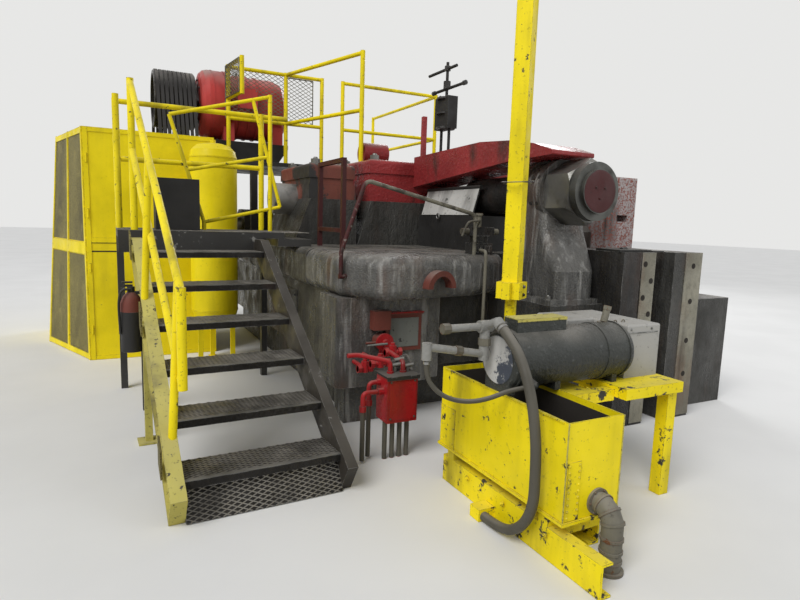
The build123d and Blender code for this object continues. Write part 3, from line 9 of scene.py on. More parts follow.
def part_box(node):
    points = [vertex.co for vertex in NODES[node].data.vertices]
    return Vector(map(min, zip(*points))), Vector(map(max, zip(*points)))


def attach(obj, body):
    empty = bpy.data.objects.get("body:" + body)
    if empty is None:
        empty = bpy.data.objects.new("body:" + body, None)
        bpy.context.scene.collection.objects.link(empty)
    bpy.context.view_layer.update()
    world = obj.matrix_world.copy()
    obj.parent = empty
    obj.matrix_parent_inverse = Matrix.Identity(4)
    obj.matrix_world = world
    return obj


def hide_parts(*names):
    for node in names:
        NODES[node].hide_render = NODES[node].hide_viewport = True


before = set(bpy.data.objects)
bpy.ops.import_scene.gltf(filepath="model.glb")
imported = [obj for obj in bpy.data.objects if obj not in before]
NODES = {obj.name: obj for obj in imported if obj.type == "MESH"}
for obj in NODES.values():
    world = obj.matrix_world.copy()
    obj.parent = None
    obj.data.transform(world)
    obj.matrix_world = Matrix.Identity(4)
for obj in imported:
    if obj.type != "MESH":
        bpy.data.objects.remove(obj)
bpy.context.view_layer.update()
BODY = "machine"

RIGHT, LEFT = (1, 0, 0), (-1, 0, 0)
BACK, FRONT = (0, 1, 0), (0, -1, 0)
UP = (0, 0, 1)

# Camera, solved from the steps of the stair
CAMERA_AT = Vector((-4.25, -6.45, 1.664))
CAMERA_YAW = 27.142
CAMERA_PITCH = -7.760
CAMERA_ROLL = -1.794
CAMERA_LENS = 25.837
CAMERA_SENSOR = 36.0
CAMERA_REACH = 200.0

# Light: the key's direction, strength and spread, then each lamp's place, size, power and colour
SUN_AHEAD = (0.78, 0.46, -0.90)
SUN_STRENGTH = 2.20
SUN_SPREAD = 35
LIT_MIDDLE = (-1.5, -1.0, 1.5)
LAMPS = {
    "fill": ((5.5, -10.0, 6.0), 7.0, 200.0, (0.95, 0.975, 1.0)),
    "rim": ((6.0, 8.0, 7.0), 6.0, 500.0, (0.96, 0.98, 1.0)),
}
SKY = (0.90, 0.94, 1.0)
SKY_STRENGTH = 0.42
BACKDROP = (0.80, 0.80, 0.79)

# Floor: half its width, and its drop under the part
FLOOR_HALF = 60.0
FLOOR_DROP = 0.002

# Edges sharper than this many degrees stay sharp
SHARP_ANGLE = 38

# Share of the usual reflection, low because the finishes are dusty
SPECULAR = 0.22

# Colours of the finishes
YELLOW = (0.88, 0.70, 0.004)
OLIVE = (0.22, 0.185, 0.060)
DEEP_RED = (0.32, 0.036, 0.037)
MOTOR_RED = (0.50, 0.055, 0.048)
CAST = (0.066, 0.064, 0.058)
DARK_CAST = (0.036, 0.034, 0.032)
STEEL = (0.42, 0.41, 0.39)
BLACK = (0.022, 0.021, 0.020)
DUST = (0.30, 0.275, 0.24)
GRIME = (0.028, 0.024, 0.020)
RUST = (0.13, 0.055, 0.025)
CHALK = (0.50, 0.49, 0.46)
RUBBER = (0.030, 0.028, 0.027)
FLOOR = (0.74, 0.73, 0.71)
FADED = (0.55, 0.48, 0.11)
BRIGHT_RED = (0.34, 0.011, 0.014)
OLD_RED = (0.15, 0.040, 0.028)
GREY = (0.10, 0.103, 0.095)
HOSE_GREY = (0.085, 0.078, 0.060)
SILVER = (0.125, 0.122, 0.114)
PALE_DIE = (0.24, 0.225, 0.175)
TERRACOTTA = (0.20, 0.060, 0.042)
PINKISH = (0.34, 0.30, 0.29)
MAROON = (0.055, 0.012, 0.012)
TREAD_BROWN = (0.018, 0.016, 0.014)
STRAND_STEEL = (0.34, 0.32, 0.285)
STRINGER_BROWN = (0.036, 0.031, 0.025)
COVER_GREY = (0.34, 0.33, 0.305)
CAP_STEEL = (0.115, 0.115, 0.105)
VESSEL_GREY = (0.050, 0.053, 0.047)
PIPE_GREY = (0.160, 0.148, 0.112)
PALE_PIPE = (0.25, 0.245, 0.225)
WIRE_GREY = (0.22, 0.21, 0.16)
DISC_BLUE = (0.060, 0.068, 0.085)
PANEL_GREY = (0.165, 0.172, 0.155)
DECK_GREY = (0.045, 0.043, 0.040)
NUT_STEEL = (0.22, 0.215, 0.20)

# Stair and landing, as the solids have them
STAIR_X = (-3.919, -3.002)
STAIR_MIDDLE = sum(STAIR_X) / 2
STAIR_TURN = 2.2
FIRST_NOSING = -3.296
RISER = 0.2286
GOING = 0.336
TREAD_COUNT = 6
TREAD_DEPTH = 0.300
NOSING_W = 0.032
NOSING_T = 0.004
WEB_T = 0.012
TREAD_BOLTS = (0.07, 0.22)
TREAD_BOLT_DROP = 0.024
TREAD_BOLT_R = 0.011
TOE_LOW = (-3.336, 0.006)
TOE_HIGH = (-3.246, 0.176)
TOE_H = math.dist(TOE_LOW, TOE_HIGH)
LANDING_REAR_OF_NOTCH = -1.130
LANDING_EDGE = 0.02
CLAMP_Y = (-3.05, -2.10, -1.40)
CLAMP_OUT = 0.087
CLAMP_DROP = 0.10
CLAMP_PROFILE = ((-0.05, -0.12), (0.05, -0.06), (0.05, 0.11), (-0.05, 0.05))
CLAMP_T = 0.012

# Guard, drive, caps and the bed's cover plates
GUARD_FOOT = ((-4.450, 0.790, 0.0), (-4.940, 2.050, 0.0))
GUARD_HEAD = ((-4.450, 0.790, 2.578), (-4.762, 2.050, 2.578))
GUARD_RIGHT = -3.080
SHEAVE_X = (-3.660, -3.160)
SHEAVE_R = 0.350
SHEAVE_RIM = 0.012
BELT_COUNT = 9
DRIVE_AXIS = (1.900, 3.140)
# Motor's rings: place along the shaft, inner radius, width and height
MOTOR_RINGS = (
    (-2.785, 0.445, 0.030, 0.008), (-2.950, 0.445, 0.018, 0.005),
    (-2.620, 0.410, 0.022, 0.014), (-2.500, 0.410, 0.022, 0.014), (-2.380, 0.410, 0.022, 0.014),
)
CAP_TOPS = {"outer_bearing_cap": 2.250, "left_bearing_cap": 2.340, "right_bearing_cap": 2.340}
PLATE_Z = (0.50, 0.95)
PLATE_T = 0.008
PLATE_BOLT_Z = (0.55, 0.90)
PLATE_BOLT_IN = 0.06
PLATE_BOLT_R = 0.014

# Tie rod's axis, boss and cap, and where the arched pipe's paint changes
ROD_AXIS = (-0.750, 1.950)
BOSS_R = 0.285
BOSS_FRONT = -2.650
CAP_DISC_R = 0.175
ARCH_BORDER_X = -2.452

# Die blocks: top, clamp plates, and the heights of the bolt holes at each place across
DIE_TOP = 1.476
DIE_PLATES = ((-0.334, -0.180), (0.20, 0.41))
DIE_HOLES = {-0.30: (1.38, 1.10, 0.82, 0.50), -0.22: (1.24, 0.96, 0.66, 0.34), 0.30: (1.36, 1.05, 0.70, 0.4)}

# Manifold on the grip housing: its blocks, and the pipes' radius, bend and route
MANIFOLD_BLOCKS = (
    ((-1.40, -1.20), (-2.27, -2.13), (1.398, 1.50)),
    ((-1.37, -1.24), (-2.25, -2.15), (1.50, 1.56)),
    ((-1.42, -1.18), (-2.26, -2.14), (1.56, 1.64)),
)
MANIFOLD_PIPES = (
    (0.014, 0.05, [(-1.43, -2.495, 0.67), (-1.43, -2.495, 1.44), (-1.34, -2.27, 1.44)]),
    (0.012, 0.03, [(-1.13, -2.20, 1.60), (-1.10, -2.20, 1.60), (-1.10, -2.32, 1.60), (-1.10, -2.32, 1.98)]),
    (0.010, 0.04, [(-1.36, -2.24, 1.64), (-1.36, -2.30, 1.70), (-1.52, -2.34, 1.68), (-1.56, -2.32, 1.56)]),
)

# Valve panel and junction box: wall of the housing, round valve, box, routes of the red pipes
HOUSING_WALL = -2.300
ROUND_VALVE = (-2.298, 0.705)
BOX_X = (-2.590, -2.337)
BOX_FRONT = -3.056
RED_PIPES = (
    [(-2.579, -2.92, 0.55), (-2.66, -2.92, 0.55), (-2.66, -2.92, 0.40)],
    [(-2.579, -2.98, 0.50), (-2.73, -2.98, 0.50), (-2.73, -2.98, 0.38)],
    [(-2.52, -2.96, 0.605), (-2.52, -2.96, 0.70), (-2.72, -2.86, 0.74), (-2.80, -2.86, 0.74)],
    [(-2.42, -2.96, 0.605), (-2.42, -2.96, 0.69), (-2.30, -2.42, 0.66), (-2.298, -2.35, 0.60)],
)
# Place and reach of the red cocks, and places of the small fittings on the box
RED_COCKS = ((-2.44, -2.62, 0.60, 0.16), (-2.30, -2.55, 0.66, 0.14), (-2.52, -2.52, 0.545, 0.12))
SMALL_FITTINGS = ((-2.47, -2.93, 0.66), (-2.38, -2.95, 0.655), (-2.43, -2.90, 0.69))
THIN_PIPE = [(-2.36, -2.62, 0.60), (-2.33, -2.66, 0.62), (-2.30, -2.78, 0.70), (-2.33, -2.92, 0.655)]

# Mast's place and its turn in plan, extinguisher, oil valve and receiver
MAST_AT = (-1.618, -3.100)
MAST_TURN = 34
EXTINGUISHER_AT = (-4.105, -1.900)
OIL_VALVE_AT = (-0.870, -0.824)
RECEIVER_AT = (-3.160, 0.350)
RECEIVER_R = 0.2545
RECEIVER_LEGS_R = 0.205

# Spray tank inside its rim, and its drain elbow
TANK_LOW = (-2.330, -4.499, 0.223)
TANK_HIGH = (-1.965, -3.351, 0.743)
LINING_OUT = 0.008
LINING_IN = 0.0095
ELBOW_HUB = (-2.110, -4.519, 0.225)
ELBOW_BEND_R = 0.0932

# Vessel and hoses on the spray tank
VESSEL_R = 0.170
VESSEL_END_X = -2.343
VESSEL_Y = -3.925
VESSEL_Z = 0.921
PIPE_Y = -3.883
PIPE_TOP_Z = 1.106
BIG_ROUTE = (
    (-2.400, -4.030, 1.128), (-2.400, -4.150, 1.056), (-2.400, -4.240, 0.946), (-2.400, -4.307, 0.810),
    (-2.400, -4.355, 0.621), (-2.400, -4.366, 0.450), (-2.400, -4.366, 0.264), (-2.400, -4.280, 0.116),
    (-2.400, -4.132, 0.029), (-2.400, -3.965, 0.029),
)
THIN_ROUTE = (
    (-2.766, -3.883, 0.945), (-2.766, -3.883, 0.862), (-2.725, -3.905, 0.786), (-2.650, -3.938, 0.734),
    (-2.544, -3.984, 0.718), (-2.439, -4.026, 0.742), (-2.346, -4.065, 0.788), (-2.247, -4.107, 0.806),
)
# Places and directions of the clamps on each hose
BIG_CLAMPS = (((-2.400, -4.045, 1.119), (0, -0.857, -0.514)),)
THIN_CLAMPS = (
    ((-2.766, -3.883, 0.930), UP),
    ((-2.262, -4.1006, 0.803), (0.99, -0.42, 0.18)),
)
# Node, route, radius, length and clamps
HOSES = (
    ("big_hose", BIG_ROUTE, 0.0275, 1.50, BIG_CLAMPS),
    ("thin_hose", THIN_ROUTE, 0.013, 0.72, THIN_CLAMPS),
)

# Diamond meshes: distance between strands, half width of a strand, slope
TREAD_MESH = (0.027, 0.0036, 0.45)
LANDING_MESH = (0.034, 0.0036, 0.45)
SCREEN_MESH = (0.050, 0.0042, 0.62)
SCREEN_FRAME_R = 0.007

# Platform's front screen between the rails, its side screen, and its end past the middle post
SCREEN_LOW = (-2.822, 1.434, 2.925)
SCREEN_HIGH = (-2.014, 1.434, 3.556)
SIDE_SCREEN = ((-2.829, 1.400, 3.165), (-2.766, 0.870, 3.165))
SCREEN_LAP = 0.001
PAST_POST = (0.360, 0.605)


class Nodes:
    """Node tree that is written a node at a time."""

    def __init__(self, tree):
        self.links = tree.links
        self.nodes = tree.nodes

    def feed(self, node, inputs):
        """Feed a node's inputs from outputs, numbers or colours, and give its own outputs."""
        for key, value in inputs.items():
            socket = node.inputs[key]
            if isinstance(value, bpy.types.NodeSocket):
                self.links.new(value, socket)
            elif isinstance(value, tuple) and socket.type == "RGBA":
                socket.default_value = (*value, 1.0)
            else:
                socket.default_value = value
        return node.outputs

    def add(self, kind, inputs):
        return self.feed(self.nodes.new(kind), inputs)

    def maths(self, operation, first, second):
        node = self.nodes.new("ShaderNodeMath")
        node.operation = operation
        return self.feed(node, {0: first, 1: second})["Value"]


class Shader(Nodes):
    """Node tree of one material."""

    def __init__(self, name):
        self.material = bpy.data.materials.new(name)
        self.material.use_nodes = True
        super().__init__(self.material.node_tree)
        self.surface = self.nodes["Principled BSDF"]
        self.coords = self.add("ShaderNodeTexCoord", {})["Object"]
        self.normal = self.add("ShaderNodeNewGeometry", {})["Normal"]

    def noise(self, scale, detail=4.0, flow=1.0, roughness=0.55):
        """Grey noise of so many features a metre, drawn out upright by a flow under 1."""
        place = self.add("ShaderNodeMapping", {"Vector": self.coords, "Scale": (1.0, 1.0, flow)})
        inputs = {"Vector": place["Vector"], "Scale": scale, "Detail": detail, "Roughness": roughness}
        return self.add("ShaderNodeTexNoise", inputs)["Fac"]

    def cells(self, scale):
        """Distance from the edges of a cell pattern."""
        texture = self.nodes.new("ShaderNodeTexVoronoi")
        texture.feature = "DISTANCE_TO_EDGE"
        return self.feed(texture, {"Vector": self.coords, "Scale": scale})["Distance"]

    def axis(self, vector, index):
        """One component of a vector."""
        return self.add("ShaderNodeSeparateXYZ", {"Vector": vector})[index]

    def ramp(self, value, low, high, start=0.0, end=1.0):
        """Value stretched from low..high to start..end and held there outside."""
        node = self.nodes.new("ShaderNodeMapRange")
        node.interpolation_type = "SMOOTHSTEP"
        inputs = {"Value": value, "From Min": low, "From Max": high, "To Min": start, "To Max": end}
        return self.feed(node, inputs)["Result"]

    def mix(self, share, first, second):
        """Colour between the first and the second."""
        node = self.nodes.new("ShaderNodeMix")
        node.data_type = "RGBA"
        return self.feed(node, {"Factor": share, "A": first, "B": second})["Result"]

    def stain(self, colour, other, mask, low, high, share=1.0):
        """Another colour laid over the first where a mask is high."""
        return self.mix(self.ramp(mask, low, high, 0.0, share), colour, other)

    def dusted(self, colour, noise, low, high, least, most):
        """Colour with dust on faces that look up, more of it where noise is high."""
        up = self.ramp(self.axis(self.normal, 2), 0.35, 0.95)
        settled = self.maths("MULTIPLY", up, self.ramp(noise, low, high, least, most))
        return self.mix(settled, colour, DUST)

    def rubbed(self, radius, scale, low, high, share=1.0):
        """Mask that is 1 on patches of the sharp edges of a piece."""
        bevel = self.nodes.new("ShaderNodeBevel")
        bevel.samples = 4
        dot = self.nodes.new("ShaderNodeVectorMath")
        dot.operation = "DOT_PRODUCT"
        rounded = self.feed(bevel, {"Radius": radius})["Normal"]
        likeness = self.feed(dot, {0: rounded, 1: self.normal})["Value"]
        edges = self.ramp(self.maths("SUBTRACT", 1.0, likeness), 0.02, 0.22)
        return self.maths("MULTIPLY", edges, self.ramp(self.noise(scale), low, high, 0.0, share))

    def bump(self, height, depth, strength):
        bumps = self.add("ShaderNodeBump", {"Height": height, "Distance": depth, "Strength": strength})
        self.feed(self.surface, {"Normal": bumps["Normal"]})

    def finish(self, colour, roughness, metallic=0.0):
        self.feed(self.surface, {"Base Color": colour, "Roughness": roughness, "Metallic": metallic})
        self.feed(self.surface, {"Specular IOR Level": SPECULAR})
        return self.material


def shade(colour, factor, more=0.0):
    """Colour made lighter or darker by a factor, with some white."""
    return tuple(min(1.0, c * factor + more) for c in colour)


def worn_paint(name, paint, grime, chips, dust, gloss=0.42, under=DARK_CAST, patch=9.0):
    """Paint with faded patches, grime that runs down, chipped edges and settled dust."""
    s = Shader(name)
    colour = s.stain(shade(paint, 0.88), shade(paint, 1.05, 0.003), s.noise(1.7), 0.35, 0.65)
    runs = s.maths("MULTIPLY", s.noise(5.0, 6.0, 0.14), s.noise(0.9, 3.0))
    colour = s.stain(colour, GRIME, runs, 0.22, 0.46, grime)
    colour = s.stain(colour, GRIME, s.noise(38.0, 3.0), 0.60, 0.72, 0.55 * grime)
    chip = 0.73 - 0.12 * chips
    patches = s.ramp(s.noise(patch, 8.0, roughness=0.7), chip, chip + 0.04)
    bare = s.maths("MAXIMUM", patches, s.rubbed(0.006, 14.0, 0.40, 0.55))
    colour = s.mix(bare, colour, under)
    colour = s.dusted(colour, s.noise(2.6, 5.0), 0.30, 0.70, 0.2 * dust, dust)
    rough = s.ramp(s.noise(6.0), 0.3, 0.7, gloss - 0.10, gloss + 0.22)
    height = s.maths("SUBTRACT", s.noise(46.0, 2.0), s.maths("MULTIPLY", bare, 0.8))
    s.bump(height, 0.0016, 0.55)
    return s.finish(colour, rough)


def casting(name, base, dust=0.55, rust=0.25, gloss=0.36, runs_and_sheen=0.0):
    """Rough casting, oily in places, with rust stains, pale runs that are partly painted sheen, and dust on
    what looks up.
    """
    s = Shader(name)
    light, dark = shade(base, 1.25, 0.008), shade(base, 0.62)
    colour = s.stain(dark, light, s.noise(1.6, 6.0, 0.5, 0.6), 0.34, 0.68)
    colour = s.stain(colour, dark, s.noise(26.0, 5.0, 0.6), 0.48, 0.66, 0.45)
    colour = s.stain(colour, light, s.noise(90.0, 3.0), 0.62, 0.74, 0.45)
    stains = s.maths("MULTIPLY", s.noise(4.0, 5.0, 0.20), s.noise(1.1))
    colour = s.stain(colour, RUST, stains, 0.25, 0.42, rust)
    colour = s.stain(colour, GRIME, s.noise(7.0, 6.0, 0.12), 0.54, 0.74, 0.65)
    # Pale upright streaks: partly runs of oil and dust, partly a painted sheen on the casting
    if runs_and_sheen:
        colour = s.stain(colour, shade(base, 2.2, 0.02), s.noise(15.0, 6.0, 0.10, 0.62), 0.50, 0.66, runs_and_sheen)
    colour = s.dusted(colour, s.noise(3.4, 6.0), 0.32, 0.66, 0.15 * dust, dust)
    colour = s.mix(s.rubbed(0.010, 11.0, 0.42, 0.62, 0.55), colour, STEEL)
    rough = s.ramp(s.noise(4.5, 6.0), 0.35, 0.68, gloss - 0.12, gloss + 0.30)
    ridges = s.maths("MULTIPLY", s.noise(17.0, 6.0, 0.35, 0.62), 2.4)
    s.bump(s.maths("ADD", s.noise(70.0, 3.0), ridges), 0.007, 0.9)
    return s.finish(colour, rough, 0.25)


def oily_paint(name, paint, grime, left_paint=None, border=0.0):
    """Thick wrinkled paint under an oil film, with painted glints on the wrinkles, and another paint left of
    a border.
    """
    s = Shader(name)
    colour = s.stain(shade(paint, 0.7), paint, s.noise(2.0, 5.0), 0.35, 0.65)
    if left_paint:
        colour = s.stain(left_paint, colour, s.axis(s.coords, 0), border - 0.002, border + 0.002)
    colour = s.stain(colour, GRIME, s.noise(4.0, 6.0, 0.4), 0.50, 0.72, grime)
    colour = s.dusted(colour, s.noise(3.0, 6.0), 0.35, 0.65, 0.1, 0.45)
    wrinkles_and_glints = s.noise(34.0, 5.0, roughness=0.62)
    # Lighter paint on the crests of the wrinkles is a painted glint of the oil film
    colour = s.stain(colour, shade(paint, 1.4, 0.10), wrinkles_and_glints, 0.60, 0.70, 0.30)
    s.bump(wrinkles_and_glints, 0.010, 0.9)
    return s.finish(colour, s.ramp(s.noise(5.0), 0.3, 0.7, 0.18, 0.40))


def mesh_sheet(name, wire):
    """Fine woven mesh, with painted shade in its openings, and caked with dust."""
    s = Shader(name)
    holes_and_shade = s.ramp(s.cells(62.0), 0.10, 0.26)
    # The openings get a darker copy of the wire: painted shade
    colour = s.mix(holes_and_shade, wire, shade(wire, 0.42))
    colour = s.stain(colour, GRIME, s.noise(2.0, 5.0, 0.5), 0.40, 0.72, 0.55)
    colour = s.stain(colour, shade(wire, 1.6), s.noise(4.0, 5.0), 0.50, 0.75, 0.5)
    s.bump(holes_and_shade, 0.003, 0.6)
    return s.finish(colour, 0.6)


def two_tone_pipe(name, left_paint, paint, border):
    """Pipe painted one colour left of a border and another right of it."""
    s = Shader(name)
    colour = s.stain(left_paint, paint, s.axis(s.coords, 0), border - 0.012, border + 0.012)
    colour = s.stain(colour, GRIME, s.noise(12.0, 6.0), 0.46, 0.66, 0.7)
    colour = s.stain(colour, DUST, s.noise(30.0, 3.0), 0.58, 0.70, 0.5)
    s.bump(s.noise(80.0, 2.0), 0.0015, 0.5)
    return s.finish(colour, s.ramp(s.noise(9.0), 0.3, 0.7, 0.32, 0.60))


def machined(name, base, dirt=0.5, gloss=0.30):
    """Turned or ground steel with fine tool marks and oily dirt."""
    s = Shader(name)
    colour = s.stain(shade(base, 0.6), base, s.noise(3.0, 5.0), 0.35, 0.65)
    colour = s.stain(colour, GRIME, s.noise(5.0, 7.0), 0.50, 0.70, dirt)
    colour = s.dusted(colour, s.noise(3.0), 0.3, 0.7, 0.1, 0.45)
    s.bump(s.noise(240.0, 2.0), 0.0008, 0.35)
    return s.finish(colour, s.ramp(s.noise(7.0), 0.3, 0.7, gloss, gloss + 0.28), 0.75)


def show(name, data):
    """New object of the scene."""
    shown = bpy.data.objects.new(name, data)
    bpy.context.scene.collection.objects.link(shown)
    return shown


def aim(lamp, ahead):
    lamp.rotation_euler = Vector(ahead).to_track_quat("-Z", "Y").to_euler()


def set_camera():
    yaw, pitch, roll = (math.radians(v) for v in (CAMERA_YAW, CAMERA_PITCH, CAMERA_ROLL))
    level = math.cos(pitch)
    ahead = Vector((math.sin(yaw) * level, math.cos(yaw) * level, math.sin(pitch)))
    right = Vector((math.cos(yaw), -math.sin(yaw), 0.0))
    up = right.cross(ahead)
    across = right * math.cos(roll) - up * math.sin(roll)
    above = right * math.sin(roll) + up * math.cos(roll)
    lens = bpy.data.cameras.new("camera")
    lens.lens = CAMERA_LENS
    lens.sensor_width = CAMERA_SENSOR
    lens.clip_end = CAMERA_REACH
    camera = show("camera", lens)
    turn = Matrix((across, above, -ahead)).transposed()
    camera.matrix_world = Matrix.Translation(CAMERA_AT) @ turn.to_4x4()
    bpy.context.scene.camera = camera


def set_lights():
    bpy.context.scene.view_settings.view_transform = "Standard"
    sun = bpy.data.lights.new("key", "SUN")
    sun.energy = SUN_STRENGTH
    sun.angle = math.radians(SUN_SPREAD)
    aim(show("key", sun), SUN_AHEAD)
    for name, (at, size, power, colour) in LAMPS.items():
        lamp = bpy.data.lights.new(name, "AREA")
        lamp.shape = "DISK"
        lamp.size, lamp.energy, lamp.color = size, power, colour
        shown = show(name, lamp)
        shown.location = at
        aim(shown, Vector(LIT_MIDDLE) - Vector(at))


def set_world():
    """Even sky for the light, and a pale backdrop for what the camera and reflections see."""
    world = bpy.data.worlds.new("world")
    bpy.context.scene.world = world
    world.use_nodes = True
    world.node_tree.nodes.clear()
    sky = Nodes(world.node_tree)
    path = sky.add("ShaderNodeLightPath", {})
    mirrored = sky.maths("MAXIMUM", path["Is Glossy Ray"], path["Is Transmission Ray"])
    seen = sky.maths("MAXIMUM", path["Is Camera Ray"], mirrored)
    lit = sky.add("ShaderNodeBackground", {"Color": SKY, "Strength": SKY_STRENGTH})
    shown = sky.add("ShaderNodeBackground", {"Color": BACKDROP, "Strength": 1.0})
    both = sky.add("ShaderNodeMixShader", {"Fac": seen, 1: lit["Background"], 2: shown["Background"]})
    sky.add("ShaderNodeOutputWorld", {"Surface": both["Shader"]})


def make_floor():
    mesh = bpy.data.meshes.new("floor")
    builder = bmesh.new()
    bmesh.ops.create_grid(builder, x_segments=1, y_segments=1, size=FLOOR_HALF)
    builder.to_mesh(mesh)
    builder.free()
    floor = show("floor", mesh)
    floor.location.z = -FLOOR_DROP
    s = Shader("pale_floor")
    colour = s.stain(shade(FLOOR, 0.96), FLOOR, s.noise(0.8, 5.0), 0.35, 0.65)
    mesh.materials.append(s.finish(colour, 0.85))


def circle(centre, first, second, radius, count, start=0.0):
    """Points round a centre in the plane of two directions."""
    centre, first, second = Vector(centre), Vector(first), Vector(second)
    turns = [start + 2 * math.pi * k / count for k in range(count)]
    return [centre + (first * math.cos(turn) + second * math.sin(turn)) * radius for turn in turns]


def bend(points, radius, steps=6):
    """Route of a bent pipe: the corners of the points rounded by one radius."""
    points = [Vector(p) for p in points]
    route = [points[0]]
    for before, corner, after in zip(points, points[1:], points[2:]):
        back, ahead = (before - corner).normalized(), (after - corner).normalized()
        for k in range(steps + 1):
            share = k / steps
            first = corner + back * radius * (1 - share)
            second = corner + ahead * radius * share
            route.append(first.lerp(second, share))
    return route + [points[-1]]


class Form:
    """Mesh of one piece, drawn in metres in the part's own frame."""

    def __init__(self):
        self.mesh = bmesh.new()

    def box(self, xs, ys, zs):
        """Box between two places on each axis."""
        corners = [(x, y, z) for x in xs for y in ys for z in zs]
        v = [self.mesh.verts.new(corner) for corner in corners]
        for side in ((0, 1, 3, 2), (4, 6, 7, 5), (0, 4, 5, 1), (2, 3, 7, 6), (0, 2, 6, 4), (1, 5, 7, 3)):
            self.mesh.faces.new([v[i] for i in side])

    def join(self, rings, closed=False):
        """Faces from each ring of points to the next, and over the ends of an open row."""
        rings = [[self.mesh.verts.new(spot) for spot in ring] for ring in rings]
        for first, second in zip(rings, rings[1:] + rings[:1] if closed else rings[1:]):
            for k, start in enumerate(first):
                j = (k + 1) % len(first)
                self.mesh.faces.new((start, first[j], second[j], second[k]))
        if not closed:
            self.mesh.faces.new(rings[0][::-1])
            self.mesh.faces.new(rings[-1])

    def slab(self, corners, thickness):
        """Sheet on four or more corners, thickened along their normal."""
        low = [Vector(corner) for corner in corners]
        normal = (low[1] - low[0]).cross(low[2] - low[0]).normalized() * thickness
        self.join([low, [corner + normal for corner in low]])

    def rod(self, start, end, radius, sides=12, tip=None):
        """Round, hexagonal or tapered bar between two points."""
        self.tube([start, end], [radius, radius if tip is None else tip], sides)

    def post(self, x, y, low, high, radius, sides=12, tip=None):
        """Upright bar from one height to another."""
        self.rod((x, y, low), (x, y, high), radius, sides, tip)

    def tube(self, points, radii, sides=10, closed=False):
        """Bar that follows points, with one radius or a radius at each of them."""
        points = [Vector(p) for p in points]
        radii = radii if isinstance(radii, list) else [radii] * len(points)
        rings, side = [], None
        for i, point in enumerate(points):
            after = points[(i + 1) % len(points)] if closed else points[min(i + 1, len(points) - 1)]
            before = points[i - 1] if closed else points[max(i - 1, 0)]
            ahead = (after - before).normalized()
            side = ahead.orthogonal() if side is None else side - ahead * side.dot(ahead)
            side = side.normalized()
            rings.append(circle(point, side, ahead.cross(side), radii[i], sides))
        self.join(rings, closed)

    def hoop(self, centre, axis, radius, width, height, sides=48):
        """Flat ring round an axis, with its inside at the radius."""
        axis = Vector(axis).normalized()
        across = axis.orthogonal().normalized()
        half, outer = axis * width / 2, radius + height
        section = ((-half, radius), (-half, outer), (half, outer), (half, radius))
        other, centre = axis.cross(across), Vector(centre)
        rounds = [circle(centre + along, across, other, r, sides) for along, r in section]
        self.join(zip(*rounds), closed=True)

    def eye(self, centre, first, second, radius, wire, count, sides=8):
        """Closed ring of round wire in the plane of two directions."""
        self.tube(circle(centre, first, second, radius, count), wire, sides, closed=True)

    def bolt(self, at, axis, radius):
        """Washer, hexagon nut and the domed end of its stud."""
        at, axis = Vector(at), Vector(axis).normalized() * radius
        self.rod(at, at + axis * 0.20, radius * 1.35, 16)
        self.rod(at + axis * 0.20, at + axis * 1.05, radius, 6)
        self.rod(at + axis * 1.05, at + axis * 1.45, radius * 0.55, 10, radius * 0.40)

    def bolts(self, spots, axis, radius):
        for spot in spots:
            self.bolt(spot, axis, radius)

    def lattice(self, place, width, depth, pitch, wire, rise):
        """Diamond mesh of flat strands over a rectangle, put in place by a function."""
        climb = rise * width
        for way, start, stop in ((climb, -climb, depth), (-climb, 0.0, depth + climb)):
            for k in range(int((stop - start) / pitch) + 1):
                foot = start + k * pitch
                self.strand(place, ((0.0, foot), (width, foot + way)), depth, wire)

    def framed_mesh(self, place, width, height):
        """Wire mesh of a screen with a thin bar along each of its edges."""
        self.lattice(place, width, height, *SCREEN_MESH)
        corners = [place(0, 0), place(width, 0), place(width, height), place(0, height)]
        for i, corner in enumerate(corners):
            self.rod(corner, corners[(i + 1) % 4], SCREEN_FRAME_R, 6)

    def strand(self, place, ends, depth, wire):
        """One strand of a lattice, cut off at the rectangle's edges."""
        (u0, w0), (u1, w1) = ends
        shares = [0.0, 1.0]
        for limit in (0.0, depth):
            shares.append((limit - w0) / (w1 - w0))
        inside = []
        for share in sorted(s for s in shares if 0.0 <= s <= 1.0):
            w = w0 + (w1 - w0) * share
            if -1e-6 <= w <= depth + 1e-6:
                inside.append((u0 + (u1 - u0) * share, w))
        if len(inside) >= 2 and (Vector(inside[0]) - Vector(inside[-1])).length > wire * 3:
            self.rod(place(*inside[0]), place(*inside[-1]), wire, 4)

    def piece(self, name, finish, slot, body=BODY, bevel=0.0):
        """Turn the mesh into a shown piece that rides on a body."""
        bmesh.ops.recalc_face_normals(self.mesh, faces=self.mesh.faces[:])
        if bevel:
            edges = self.mesh.edges[:]
            bmesh.ops.bevel(self.mesh, geom=edges, offset=bevel, segments=2, affect="EDGES")
        for face in self.mesh.faces:
            face.smooth = True
        mesh = bpy.data.meshes.new(name)
        self.mesh.to_mesh(mesh)
        self.mesh.free()
        mesh.set_sharp_from_angle(angle=math.radians(SHARP_ANGLE))
        mesh.materials.append(FINISHES[finish])
        shown = show(name, mesh)
        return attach(shown, body)


